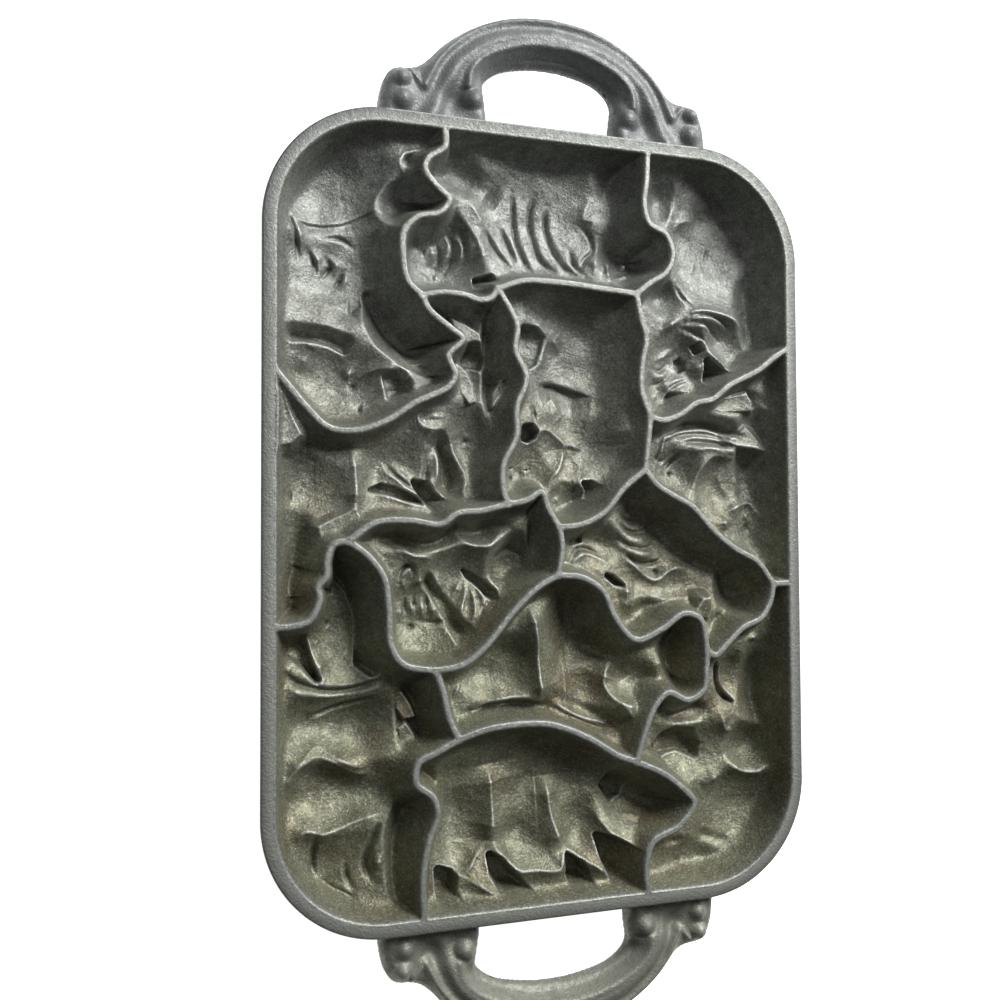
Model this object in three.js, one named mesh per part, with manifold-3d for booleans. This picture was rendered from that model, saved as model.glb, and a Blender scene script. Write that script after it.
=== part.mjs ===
// Cast iron animal cookie pan: twelve animal moulds packed like a jigsaw inside a rounded rectangular
// rim, with a scrolled loop handle at each end. The moulds meet along the crests of their dividers.
// Millimetres, +Z up. The origin is under the middle of the pan, on the plane that it rests on.
import * as THREE from "three";
import { mergeVertices } from "three/addons/utils/BufferGeometryUtils.js";
import Module from "manifold-3d";

const wasm = await Module();
wasm.setup();

// Body
const PAN_WIDTH = 205.4;
const PAN_LENGTH = 281.8;
const PAN_HEIGHT = 25;
const CORNER_RADIUS = 42.5;
const FLOOR_THICKNESS = 5;
const PARTING_GAP = 0.3;
const OVERSHOOT = 1;

// Rim
const RIM_WIDTH = 3.9;
const RIM_HEIGHT = 18;

// Moulds
const CREST_WIDTH = 3;
const WALL_LEAN = 4;
const PLATE_LEVEL = 9;
const CUP_SIDE = 5.5;
const CUP_BASE = 8;
const CUP_PARTING = 2;

// Handles
const HANDLE_SPAN = 128;
const HANDLE_REACH = 41.3;
const HANDLE_THICKNESS = 12;
const HANDLE_DROP = 4;
const OPENING_SPAN = 56;
const OPENING_REACH = 23;
const BEAD_RADIUS = 2.2;
const INNER_SCROLL_RADIUS = 5.5;
const OUTER_SCROLL_RADIUS = 5;
const SCROLL_CLEARANCE = 1;

// How finely curves are broken into straight facets
const OUTLINE_STEP = 7;
const RIDGE_SIDES = 6;
const OVAL_SIDES = 8;
const OVAL_RINGS = 4;
const KNOB_SIDES = 8;
const KNOB_RINGS = 6;
const BEAD_SIDES = 8;
const BEAD_STEPS = 18;
const ARCH_SIDES = 24;

const INSIDE_WIDTH = PAN_WIDTH - 2 * RIM_WIDTH;
const INSIDE_LENGTH = PAN_LENGTH - 2 * RIM_WIDTH;
const INSIDE_RADIUS = CORNER_RADIUS - RIM_WIDTH;

// The layout below is in per cent of the way from the middle of the pan to the inside of the rim
function onPan([x, y]) {
  return new THREE.Vector2((x / 100) * (INSIDE_WIDTH / 2), (y / 100) * (INSIDE_LENGTH / 2));
}

function roundedRectangle(width, length, radius) {
  const across = width / 2 - radius;
  const along = length / 2 - radius;
  const path = new THREE.Shape();
  path.moveTo(-across, length / 2);
  path.lineTo(across, length / 2);
  path.absarc(across, along, radius, Math.PI / 2, 0, true);
  path.lineTo(width / 2, -along);
  path.absarc(across, -along, radius, 0, -Math.PI / 2, true);
  path.lineTo(-across, -length / 2);
  path.absarc(-across, -along, radius, -Math.PI / 2, -Math.PI, true);
  path.lineTo(-width / 2, along);
  path.absarc(-across, along, radius, Math.PI, Math.PI / 2, true);
  return path;
}

// The inside line of the rim, walked clockwise from the left end of its top edge
const rimLine = roundedRectangle(INSIDE_WIDTH, INSIDE_LENGTH, INSIDE_RADIUS);
const rimAcross = INSIDE_WIDTH / 2 - INSIDE_RADIUS;
const rimAlong = INSIDE_LENGTH / 2 - INSIDE_RADIUS;
const rimCorner = (Math.PI / 2) * INSIDE_RADIUS;
const rimLap = 4 * (rimAcross + rimAlong + rimCorner);

// How far along the rim line a point of each edge lies, given its x or y on the layout
const alongRim = {
  top: (x) => onPan([x, 0]).x + rimAcross,
  right: (y) => 2 * rimAcross + rimCorner + rimAlong - onPan([0, y]).y,
  bottom: (x) => 3 * rimAcross + 2 * rimCorner + 2 * rimAlong - onPan([x, 0]).x,
  left: (y) => 4 * rimAcross + 3 * rimCorner + 3 * rimAlong + onPan([0, y]).y,
};

function rimPoint(distance) {
  return rimLine.getPoint((distance % rimLap) / rimLap);
}

// Where dividers reach the rim, clockwise: each mould starts here and ends at the next one
const RIM_STARTS = [
  ["tiger", alongRim.top(-40.1)],
  ["elephant", alongRim.top(39.4)],
  ["goat", alongRim.right(48.3)],
  ["monkey", alongRim.right(-18.1)],
  ["bear", alongRim.bottom(36.8)],
  ["rhino", alongRim.bottom(-48.5)],
  ["deer", alongRim.left(-26.2)],
  ["bison", alongRim.left(36.3)],
];
const rimStart = Object.fromEntries(RIM_STARTS.map(([animal, distance]) => [animal, rimPoint(distance)]));

// Points where three moulds meet
const bisonTigerDeer = onPan([-48.7, 56.1]);
const tigerDeerHippo = onPan([-20.6, 59.3]);
const tigerElephantHippo = onPan([34.3, 60.6]);
const elephantHippoGoat = onPan([39.7, 27.5]);
const hippoGoatHorse = onPan([37.4, 13.1]);
const goatHorseMonkey = onPan([92.1, -18.2]);
const hippoHorseLion = onPan([2.6, -2.4]);
const horseLionCamel = onPan([2, -14.8]);
const deerHippoLion = onPan([-17.2, 3.6]);
const deerLionRhino = onPan([-74.5, -5.7]);
const lionRhinoCamel = onPan([-44.1, -38.2]);
const rhinoCamelBear = onPan([-35.7, -55.7]);
const camelBearMonkey = onPan([32.8, -64.7]);
const horseCamelMonkey = onPan([62.8, -36]);

// Dividers: the two moulds that each one parts, its ends, and what its crest passes between them
const DIVIDERS = [
  ["bison", "tiger", rimStart.tiger, bisonTigerDeer, [
    [-40.3, 94.7], [-46.2, 91.5], [-47.5, 88.5], [-43.6, 84.7], [-38.7, 81.2],
    [-42.1, 77.7], [-50.2, 76.1], [-55, 72], [-55.5, 66.2], [-53.7, 59.6]]],
  ["bison", "deer", bisonTigerDeer, rimStart.bison, [
    [-46.2, 52.7], [-38.1, 48.2], [-33.8, 45.6], [-39.1, 41.4], [-36.6, 36.3], [-39.1, 33.4],
    [-51.2, 29], [-61.3, 24.2], [-72.5, 21.5], [-81.6, 22.2], [-89.2, 27.2], [-94.7, 31.9]]],
  ["tiger", "deer", bisonTigerDeer, tigerDeerHippo, [[-41.1, 57.3], [-33, 57], [-27.4, 56], [-22.9, 56.9]]],
  ["tiger", "hippo", tigerDeerHippo, tigerElephantHippo, [[-10.7, 61.8], [4.5, 62.1], [19.6, 61.4]]],
  ["tiger", "elephant", tigerElephantHippo, rimStart.elephant, [
    [39.9, 63.9], [47, 67.3], [49.7, 72], [47, 77.5], [39.9, 80.3], [37.9, 85.2], [38.9, 92.5]]],
  ["elephant", "hippo", tigerElephantHippo, elephantHippoGoat, [
    [36.3, 53.8], [38.3, 48.7], [36.4, 41.4], [36.1, 34.8]]],
  ["elephant", "goat", elephantHippoGoat, rimStart.goat, [
    [44.9, 26.6], [52, 28.2], [59.1, 31.7], [66.2, 33], [74.3, 37.3], [86.4, 41.6], [93.5, 45.4]]],
  ["hippo", "goat", elephantHippoGoat, hippoGoatHorse, [[38.7, 20.9]]],
  ["goat", "horse", hippoGoatHorse, goatHorseMonkey, [
    [41.9, 9.3], [50, 5.8], [57.1, 3.2], [66.2, -3.4], [75.3, -8.2], [85.4, -12.2]]],
  ["goat", "monkey", goatHorseMonkey, rimStart.monkey, []],
  ["hippo", "horse", hippoGoatHorse, hippoHorseLion, [[28.7, 8.3], [20.6, 1.8], [11.5, -1.5]]],
  ["horse", "lion", hippoHorseLion, horseLionCamel, [[3.6, -8.2]]],
  ["deer", "hippo", tigerDeerHippo, deerHippoLion, [
    [-15.8, 53.8], [-13.4, 49.8], [-14.1, 43.6], [-9.9, 36.3], [-13.6, 29], [-14, 20.9],
    [-18.8, 13.6], [-18.8, 7.1]]],
  ["hippo", "lion", deerHippoLion, hippoHorseLion, [[-10.2, 4.7], [-4.1, 6.8], [-1.6, 2.3]]],
  ["deer", "lion", deerHippoLion, deerLionRhino, [
    [-26.9, 2], [-36, 1.2], [-42.1, -1.5], [-53.2, -0.6], [-65.4, -1.2]]],
  ["deer", "rhino", deerLionRhino, rimStart.deer, [
    [-79.6, -6.4], [-81.9, -10.4], [-82.1, -14.1], [-84.8, -16.6], [-84.4, -19.9],
    [-87.7, -24.7], [-92.7, -26]]],
  ["lion", "rhino", deerLionRhino, lionRhinoCamel, [
    [-67.4, -9.7], [-62.3, -14.8], [-60.6, -22.8], [-59.8, -31.6], [-55.3, -36.4]]],
  ["lion", "camel", lionRhinoCamel, horseLionCamel, [
    [-34, -36.9], [-25.9, -32.7], [-14.8, -23.6], [-5.7, -17.7]]],
  ["rhino", "camel", lionRhinoCamel, rhinoCamelBear, [[-41.6, -43.3], [-39.1, -50.6]]],
  ["rhino", "bear", rhinoCamelBear, rimStart.rhino, [
    [-44.1, -58.6], [-50.2, -60.8], [-50.9, -65.9], [-45.1, -69.6], [-43.4, -73.9],
    [-46.7, -80.5], [-48.7, -88.5]]],
  ["camel", "bear", rhinoCamelBear, camelBearMonkey, [
    [-24.9, -53.5], [-10.7, -52.8], [-0.6, -53.5], [13.6, -57.6], [25.7, -62.8]]],
  ["camel", "monkey", camelBearMonkey, horseCamelMonkey, [
    [36.6, -56.4], [40.7, -50.2], [46, -46.9], [54.6, -49.1], [61.1, -46.6], [62.3, -40.4]]],
  ["bear", "monkey", camelBearMonkey, rimStart.bear, [
    [43.9, -68.5], [51, -72.3], [56.5, -76.9], [50, -82.7], [39.4, -86.1], [36.5, -91.5]]],
  ["horse", "camel", horseLionCamel, horseCamelMonkey, [
    [11.5, -15.5], [19.6, -19.2], [24.7, -26.5], [32.8, -32.3], [43.9, -29.6], [53, -25.8], [60.1, -27.6]]],
  ["horse", "monkey", horseCamelMonkey, goatHorseMonkey, [
    [66.2, -37.4], [71.3, -34.5], [78.3, -30.1], [86.4, -27.6], [90.8, -22.8]]],
];

// What is carved in each mould: the depth of its general floor below the crests, then the hollows of
// the animal's body as ovals: centre on the layout, half lengths, turn in degrees, and depth
const CARVINGS = {
  bison: [11, [
    [-77.5, 82.3, 20, 22, 0, 19.5], [-81.6, 58.9, 15, 19, 0, 17], [-75.5, 32.6, 19, 13, -15, 17],
    [-48.2, 83, 14, 6, 8, 16], [-47.2, 50.1, 16, 11, 0, 19], [-63.4, 67.7, 10, 13, 0, 18],
    [-47.2, 39.2, 11, 4, -8, 15]]],
  tiger: [10, [
    [4.5, 76.4, 28, 17, 0, 17.5], [37.9, 75.7, 16, 12, 0, 19.5], [-38.1, 69.9, 12, 13, 0, 15],
    [-27.9, 91, 12, 7, -20, 15], [1.4, 93.9, 15, 8, 0, 13.5], [30.8, 91.8, 12, 10, 0, 18]]],
  elephant: [11, [
    [75.3, 77.9, 25, 26, 0, 19.5], [92.5, 64.7, 11, 25, 0, 19], [58.1, 44.3, 13, 14, 0, 16],
    [79.4, 48.7, 18, 9, -28, 16], [51, 35.5, 8, 9, 30, 14], [52, 61.8, 8, 7, 0, 14],
    [51, 88.8, 6, 10, 0, 14]]],
  deer: [10, [
    [-84.6, 10, 12, 12, 0, 17], [-56.3, 11.5, 17, 12, 0, 16], [-27.9, 16.6, 10, 18, 0, 19],
    [-17.8, 41.4, 5, 24, 0, 17], [-34, 52.3, 10, 5, -35, 15], [-27.9, 38.5, 5, 9, 15, 14],
    [-90.7, -11.9, 6, 20, 0, 15], [-92.7, 26.8, 5, 9, 30, 16]]],
  hippo: [11, [
    [18.6, 41.4, 20, 27, 0, 19.5], [15.6, 16.6, 14, 16, 0, 18], [-3.6, 13.6, 11, 11, 0, 15],
    [-3.6, 45.8, 5, 9, 10, 14], [-5.7, 26.8, 4, 7, 0, 14], [14.6, 4.9, 12, 9, 0, 18],
    [3.4, 45.8, 12, 14, 0, 16]]],
  goat: [10, [
    [91.5, 9.3, 10, 32, 0, 19.5], [78.3, 7.8, 15, 13, -30, 17], [68.2, 24.6, 23, 5, -6, 15],
    [56.1, 14.4, 10, 8, 20, 15], [85.4, 33.4, 12, 6, 0, 14], [88.5, -3.9, 10, 8, -30, 15]]],
  horse: [11, [
    [85.4, -17.7, 14, 14, 0, 19.5], [56.1, -1.7, 27, 13, -36, 18.5], [50, -15.5, 24, 9, -12, 16],
    [18.6, -9.7, 11, 7, 0, 14], [44.9, -25.8, 16, 6, 12, 15], [74.3, -31.6, 5, 8, 0, 15]]],
  lion: [9, [
    [-9.7, -9.7, 13, 13, 0, 19], [-33, -18.5, 12, 16, 30, 15], [-46.2, -27.2, 13, 15, 0, 16.5],
    [-47.2, -5.3, 16, 6, 0, 15], [-27.9, -3.1, 10, 5, 0, 14], [-18.8, -25.8, 16, 5, 45, 14]]],
  rhino: [11, [
    [-70.4, -25.8, 13, 22, 0, 19.5], [-76.5, -51.3, 19, 13, 0, 18], [-74.5, -68.1, 22, 14, 0, 19.5],
    [-77.5, -87.8, 19, 16, 0, 18.5], [-47.2, -49.1, 9, 14, 0, 19], [-50.2, -84.2, 9, 20, 0, 19.5],
    [-91.7, -33.1, 5, 8, 30, 15]]],
  camel: [11, [
    [13.6, -30.1, 15, 19, 0, 19.5], [58.1, -38.2, 12, 14, 0, 19.5], [-12.8, -37.4, 14, 13, 0, 17],
    [34.8, -44, 13, 9, -15, 16], [-12.8, -50.6, 18, 4, 0, 14], [19.6, -52.8, 18, 5, -28, 15],
    [35.8, -59.3, 6, 10, 20, 17]]],
  monkey: [12, [
    [81.4, -81.2, 23, 19, 0, 19.5], [92.5, -46.2, 14, 18, 0, 19], [86.4, -63.7, 12, 11, 0, 18],
    [55.1, -63.7, 12, 10, 0, 17], [62.1, -93.6, 19, 9, 0, 17], [76.3, -45.5, 5, 10, 0, 16],
    [56.1, -53.5, 10, 5, 0, 15]]],
  bear: [9, [
    [-4.7, -73.2, 32, 20, 0, 18.5], [-28.9, -76.9, 13, 21, 0, 18.5], [39.9, -77.6, 21, 10, -10, 18],
    [-38.1, -93.6, 6, 10, 0, 16], [-13.8, -92.2, 7, 11, 40, 15], [12.6, -92.2, 6, 11, 25, 15],
    [32.8, -93.6, 9, 11, 20, 17], [-45.1, -65.9, 4.5, 5, 0, 12]]],
};

// Iron of each region: worn bright on the rim, darker and browner down in the moulds
const IRON = {
  rim: { color: 0x7c7f7d, roughness: 0.5, metalness: 0.85 },
  handle: { color: 0x6f7271, roughness: 0.55, metalness: 0.85 },
  mould: { color: 0x5f5d55, roughness: 0.6, metalness: 0.85 },
};

function solid(geometry) {
  const bare = geometry.clone();
  bare.deleteAttribute("normal");
  bare.deleteAttribute("uv");
  const merged = mergeVertices(bare);
  const vertProperties = merged.attributes.position.array;
  const triVerts = new Uint32Array(merged.index.array);
  return new wasm.Manifold(new wasm.Mesh({ numProp: 3, vertProperties, triVerts }));
}

function geometryOf(body) {
  const { vertProperties, triVerts } = body.getMesh();
  const geometry = new THREE.BufferGeometry();
  geometry.setAttribute("position", new THREE.BufferAttribute(vertProperties, 3));
  geometry.setIndex(new THREE.BufferAttribute(triVerts, 1));
  geometry.computeVertexNormals();
  return geometry;
}

function join(bodies) {
  return bodies.reduce((whole, body) => whole.add(body));
}

// Moves a closed outline, listed anticlockwise, inwards by a distance, or outwards if it is negative
function inset(outline, distance) {
  const count = outline.length;
  return outline.map((point, i) => {
    const before = point.clone().sub(outline[(i + count - 1) % count]).normalize();
    const after = outline[(i + 1) % count].clone().sub(point).normalize();
    const inward = new THREE.Vector2(-before.y - after.y, before.x + after.x).normalize();
    const square = Math.max(0.5, inward.dot(new THREE.Vector2(-after.y, after.x)));
    return point.clone().addScaledVector(inward, distance / square);
  });
}

function prism(outline, bottom, top) {
  const shape = outline instanceof THREE.Shape ? outline : new THREE.Shape(outline);
  const geometry = new THREE.ExtrudeGeometry(shape, { depth: top - bottom, bevelEnabled: false });
  return geometry.translate(0, 0, bottom);
}

// A ridge along a line of points: a bar with leaning sides on each stretch and a cone at each point
function ridge(points, bottom, top, bottomHalf, topHalf) {
  const height = top - bottom;
  const section = new THREE.Shape([
    new THREE.Vector2(-bottomHalf, 0),
    new THREE.Vector2(bottomHalf, 0),
    new THREE.Vector2(topHalf, height),
    new THREE.Vector2(-topHalf, height),
  ]);
  const up = new THREE.Vector3(0, 0, 1);
  const bars = points.slice(1).map((point, i) => {
    const way = new THREE.Vector3(point.x - points[i].x, point.y - points[i].y, 0);
    const bar = new THREE.ExtrudeGeometry(section, { depth: way.length(), bevelEnabled: false });
    const along = way.clone().normalize();
    const frame = new THREE.Matrix4().makeBasis(up.clone().cross(along), up, along);
    return solid(bar.applyMatrix4(frame.setPosition(points[i].x, points[i].y, bottom)));
  });
  const cones = points.map(({ x, y }) => {
    const cone = new THREE.CylinderGeometry(topHalf, bottomHalf, height, RIDGE_SIDES);
    return solid(cone.rotateX(Math.PI / 2).translate(x, y, bottom + height / 2));
  });
  return join([...bars, ...cones]);
}

function spacedAlong(points) {
  const curve = new THREE.CatmullRomCurve3(points.map(({ x, y }) => new THREE.Vector3(x, y, 0)));
  const steps = Math.max(1, Math.round(curve.getLength() / OUTLINE_STEP));
  return curve.getSpacedPoints(steps).map(({ x, y }) => new THREE.Vector2(x, y));
}

function rimRun(start, end) {
  const length = (end - start + rimLap) % rimLap;
  const steps = Math.round(length / OUTLINE_STEP);
  return Array.from({ length: steps + 1 }, (_, i) => rimPoint(start + (length * i) / steps));
}

// A stretch of mould edge: the moulds on its sides, its line and the wall that stands on it
function edgeRun(animals, points) {
  const top = PAN_HEIGHT + OVERSHOOT;
  const wall = ridge(points, FLOOR_THICKNESS, top, CREST_WIDTH / 2 + WALL_LEAN, CREST_WIDTH / 2);
  return { animals, points, wall };
}

const rimRuns = RIM_STARTS.map(([animal, start], i) => {
  const [, end] = RIM_STARTS[(i + 1) % RIM_STARTS.length];
  return edgeRun([animal], rimRun(start, end));
});
const dividerRuns = DIVIDERS.map(([one, other, start, end, passes]) => (
  edgeRun([one, other], spacedAlong([start, ...passes.map(onPan), end]))
));

// The closed line round a mould, anticlockwise, chained from its dividers and its stretch of rim
function mouldOutline(runs) {
  const waiting = [...runs];
  const outline = [...waiting.shift().points];
  while (waiting.length > 0) {
    const end = outline.pop();
    const gapTo = ({ points }) => Math.min(points[0].distanceTo(end), points.at(-1).distanceTo(end));
    waiting.sort((one, other) => gapTo(one) - gapTo(other));
    const next = waiting.shift().points;
    outline.push(...(next[0].distanceTo(end) < next.at(-1).distanceTo(end) ? next : next.toReversed()));
  }
  outline.pop();
  return THREE.ShapeUtils.isClockWise(outline) ? outline.reverse() : outline;
}

// The ball of a hollow, or with margins at its sides and base the ball of the iron cup round it
function oval([x, y, alongX, alongY, turn, depth], side, base) {
  const ball = new THREE.SphereGeometry(1, OVAL_SIDES, OVAL_RINGS);
  ball.rotateX(Math.PI / 2);
  ball.scale(alongX + side, alongY + side, depth + base);
  ball.rotateZ(THREE.MathUtils.degToRad(turn));
  const centre = onPan([x, y]);
  return solid(ball.translate(centre.x, centre.y, PAN_HEIGHT));
}

// A mould is a plate with walls round its edge and with a cup bulging down under each of its hollows
function mould(animal) {
  const runs = [...dividerRuns, ...rimRuns].filter((run) => run.animals.includes(animal));
  const outline = inset(mouldOutline(runs), PARTING_GAP / 2);
  const [floorDepth, ovals] = CARVINGS[animal];
  const hollows = join(ovals.map((one) => oval(one, 0, 0)));
  const floor = solid(prism(outline, 0, PAN_HEIGHT - floorDepth)).subtract(hollows);
  const walls = join(runs.map((run) => run.wall));
  const balls = join(ovals.map((one) => oval(one, CUP_SIDE, CUP_BASE)));
  const cups = balls.intersect(solid(prism(inset(outline, CUP_PARTING), 0, PAN_HEIGHT - OVERSHOOT)));
  const shell = solid(prism(outline, PLATE_LEVEL, PAN_HEIGHT)).add(cups);
  return floor.add(walls).intersect(shell);
}

function rimOutside(gap) {
  const outside = roundedRectangle(PAN_WIDTH + 2 * gap, PAN_LENGTH + 2 * gap, CORNER_RADIUS + gap);
  return solid(prism(outside, PAN_HEIGHT - RIM_HEIGHT, PAN_HEIGHT));
}

function rim() {
  const line = rimRuns.flatMap(({ points }) => points.slice(0, -1)).reverse();
  const inside = inset(line, -PARTING_GAP / 2);
  return rimOutside(0).subtract(solid(prism(inside, 0, PAN_HEIGHT + OVERSHOOT)));
}

// Half of the handle's outer line, from its root on the pan's end to its crown, on a unit span and reach
const HANDLE_SIDE = [
  [1, -0.1], [0.98, 0.14], [0.93, 0.3], [0.85, 0.39], [0.77, 0.46], [0.68, 0.6], [0.55, 0.76],
  [0.38, 0.89], [0.2, 0.97], [0, 1],
];
const OUTER_BEAD = [[0.74, 0.3], [0.71, 0.45], [0.6, 0.64], [0.45, 0.78], [0.25, 0.89], [0, 0.93]];
const INNER_BEAD = [[0.66, 0.12], [0.63, 0.36], [0.47, 0.58], [0.25, 0.72], [0, 0.76]];

function onHandle([across, out]) {
  return new THREE.Vector2((across * HANDLE_SPAN) / 2, PAN_LENGTH / 2 + out * HANDLE_REACH);
}

function bothSides(half) {
  const right = half.map(onHandle);
  const left = right.slice(0, -1).reverse().map(({ x, y }) => new THREE.Vector2(-x, y));
  return [...right, ...left];
}

function ellipse(y, alongX, alongY, sides) {
  return new THREE.Shape(new THREE.EllipseCurve(0, y, alongX, alongY).getPoints(sides).slice(1));
}

function bead(half, level) {
  const line = bothSides(half).map(({ x, y }) => new THREE.Vector3(x, y, level));
  const extrudePath = new THREE.CatmullRomCurve3(line);
  const section = ellipse(0, BEAD_RADIUS, BEAD_RADIUS, BEAD_SIDES);
  return solid(new THREE.ExtrudeGeometry(section, { steps: BEAD_STEPS, extrudePath, bevelEnabled: false }));
}

function knob(x, y, radius) {
  const ball = new THREE.SphereGeometry(radius, KNOB_SIDES, KNOB_RINGS).rotateX(Math.PI / 2);
  return solid(ball.translate(x, y, PAN_HEIGHT - HANDLE_DROP - BEAD_RADIUS));
}

function handle() {
  const top = PAN_HEIGHT - HANDLE_DROP;
  const bottom = top - HANDLE_THICKNESS;
  const end = PAN_LENGTH / 2;
  const bar = solid(prism(spacedAlong(bothSides(HANDLE_SIDE)), bottom, top));
  const arch = ellipse(end, OPENING_SPAN / 2, OPENING_REACH, ARCH_SIDES);
  const opening = solid(prism(arch, bottom - OVERSHOOT, top + BEAD_RADIUS + OVERSHOOT));
  const innerScroll = OPENING_SPAN / 2 + INNER_SCROLL_RADIUS;
  const outerScroll = HANDLE_SPAN / 2 - OUTER_SCROLL_RADIUS;
  const scrolls = [-1, 1].flatMap((side) => [
    knob(side * innerScroll, end + INNER_SCROLL_RADIUS + SCROLL_CLEARANCE, INNER_SCROLL_RADIUS),
    knob(side * outerScroll, end + OUTER_SCROLL_RADIUS + SCROLL_CLEARANCE, OUTER_SCROLL_RADIUS),
  ]);
  const whole = join([bar.subtract(opening), bead(OUTER_BEAD, top), bead(INNER_BEAD, top), ...scrolls]);
  return whole.subtract(rimOutside(PARTING_GAP)).subtract(solid(prism(rimLine, 0, PAN_HEIGHT)));
}

const pan = new THREE.Group();

function addPiece(name, geometry, iron) {
  const mesh = new THREE.Mesh(geometry, new THREE.MeshStandardMaterial(iron));
  mesh.name = name;
  pan.add(mesh);
  return mesh;
}

addPiece("rim", geometryOf(rim()), IRON.rim);
for (const animal of Object.keys(CARVINGS)) {
  addPiece(`${animal}_mould`, geometryOf(mould(animal)), IRON.mould);
}
const handleGeometry = geometryOf(handle());
addPiece("upper_handle", handleGeometry, IRON.handle);
addPiece("lower_handle", handleGeometry, IRON.handle).rotation.z = Math.PI;

export default pan;
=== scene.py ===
"""Looks of a cast iron animal cookie pan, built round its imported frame.

The top of the pan is one relief. Its depth below the crests is worked out on a fine grid, from the crest
lines between the moulds, the hollows of the animals and the strokes drawn across them. Each mould is then
cut out of that relief along its crest lines. Tables and reliefs are in millimetres, the scene in metres.
"""

import math

import bpy
import numpy as np
from mathutils import Matrix, Vector


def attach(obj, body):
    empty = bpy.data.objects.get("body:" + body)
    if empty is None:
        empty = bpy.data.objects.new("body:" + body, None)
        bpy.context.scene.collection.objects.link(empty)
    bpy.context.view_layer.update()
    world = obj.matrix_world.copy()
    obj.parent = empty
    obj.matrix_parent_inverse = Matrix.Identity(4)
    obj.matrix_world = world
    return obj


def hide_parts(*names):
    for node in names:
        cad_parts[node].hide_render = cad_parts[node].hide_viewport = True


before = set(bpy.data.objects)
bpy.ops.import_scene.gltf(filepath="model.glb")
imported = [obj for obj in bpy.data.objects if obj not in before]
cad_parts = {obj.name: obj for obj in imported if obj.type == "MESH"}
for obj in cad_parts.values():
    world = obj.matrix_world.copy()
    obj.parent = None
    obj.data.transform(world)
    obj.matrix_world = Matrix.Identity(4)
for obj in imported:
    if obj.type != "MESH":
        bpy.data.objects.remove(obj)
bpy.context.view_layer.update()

MM = 0.001

# Body
PAN_WIDTH = 205.4
PAN_LENGTH = 281.8
PAN_HEIGHT = 25
CORNER_RADIUS = 42.5
RIM_WIDTH = 3.9
RIM_HEIGHT = 18
RIM_EDGE_RADIUS = 0.8
RIM_TAPER = 2.4
PLATE_LEVEL = 9
LEAST_THICKNESS = 4

# Cups under the moulds
CUP_SIDE = 5.5
CUP_BASE = 8
CUP_SLOPE = 4
CUP_START = 1.5

# Walls of the moulds
CREST_FLAT = 0.6
CREST_ROUND = 1.2
CREST_BLEND = 0.5
STEEP_WALL = 5.5
LEANING_WALL = 2.3
RIM_WALL_SLOPE = 3.5
LEAN_TOWARDS = (-0.8, -0.6)
WALL_REACH = 14
LEAST_GAP = 0.1
FILLET = 2.6

# Carving
HOLLOW_BLEND = 1.2
HOLLOW_CURVE = 0.42
STROKE_TAPER = 6
STROKE_END = 0.15
STROKE_EXTENT = 3
FOLD_EXTENT = 2
FOLD_EDGE = 0.5
CREASE_EDGE = 0.35
AREA_REACH = 14
AREA_BLEND = 0.35

# Unevenness of the cast floors
BUMP_WAVES = 40
WAVE_SPREAD = (1.4, 3)
LARGE_BUMPS = 0.25
LARGE_BUMP_SIZE = 6
SMALL_BUMPS = 0.03
SMALL_BUMP_SIZE = 1.6

# Fineness
GRID_STEP = 0.36
LINE_STEP = 1.0
CORNER_STEPS_PER_RADIUS = 1.6
EDGE_STEPS = 6
SHARP_ANGLE = 65

INSIDE_WIDTH = PAN_WIDTH - 2 * RIM_WIDTH
INSIDE_LENGTH = PAN_LENGTH - 2 * RIM_WIDTH
INSIDE_RADIUS = CORNER_RADIUS - RIM_WIDTH

# Where dividers reach the rim
RIM_TIGER = (-39.6, INSIDE_LENGTH / 2)
RIM_ELEPHANT = (38.9, INSIDE_LENGTH / 2)
RIM_GOAT = (INSIDE_WIDTH / 2, 66.2)
RIM_MONKEY = (INSIDE_WIDTH / 2, -24.8)
RIM_BEAR = (36.4, -INSIDE_LENGTH / 2)
RIM_RHINO = (-47.9, -INSIDE_LENGTH / 2)
RIM_DEER = (-INSIDE_WIDTH / 2, -35.9)
RIM_BISON = (-INSIDE_WIDTH / 2, 49.7)

# Points where three moulds meet
BISON_TIGER_DEER = (-48.1, 76.9)
TIGER_DEER_HIPPO = (-20.4, 81.2)
TIGER_ELEPHANT_HIPPO = (33.9, 83)
ELEPHANT_HIPPO_GOAT = (39.2, 37.7)
HIPPO_GOAT_HORSE = (37, 18)
GOAT_HORSE_MONKEY = (91, -24.9)
HIPPO_HORSE_LION = (2.6, -3.3)
HORSE_LION_CAMEL = (2, -20.3)
DEER_HIPPO_LION = (-17, 5)
DEER_LION_RHINO = (-73.6, -7.8)
LION_RHINO_CAMEL = (-43.6, -52.3)
RHINO_CAMEL_BEAR = (-35.3, -76.3)
CAMEL_BEAR_MONKEY = (32.4, -88.7)
HORSE_CAMEL_MONKEY = (62, -49.3)

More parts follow.
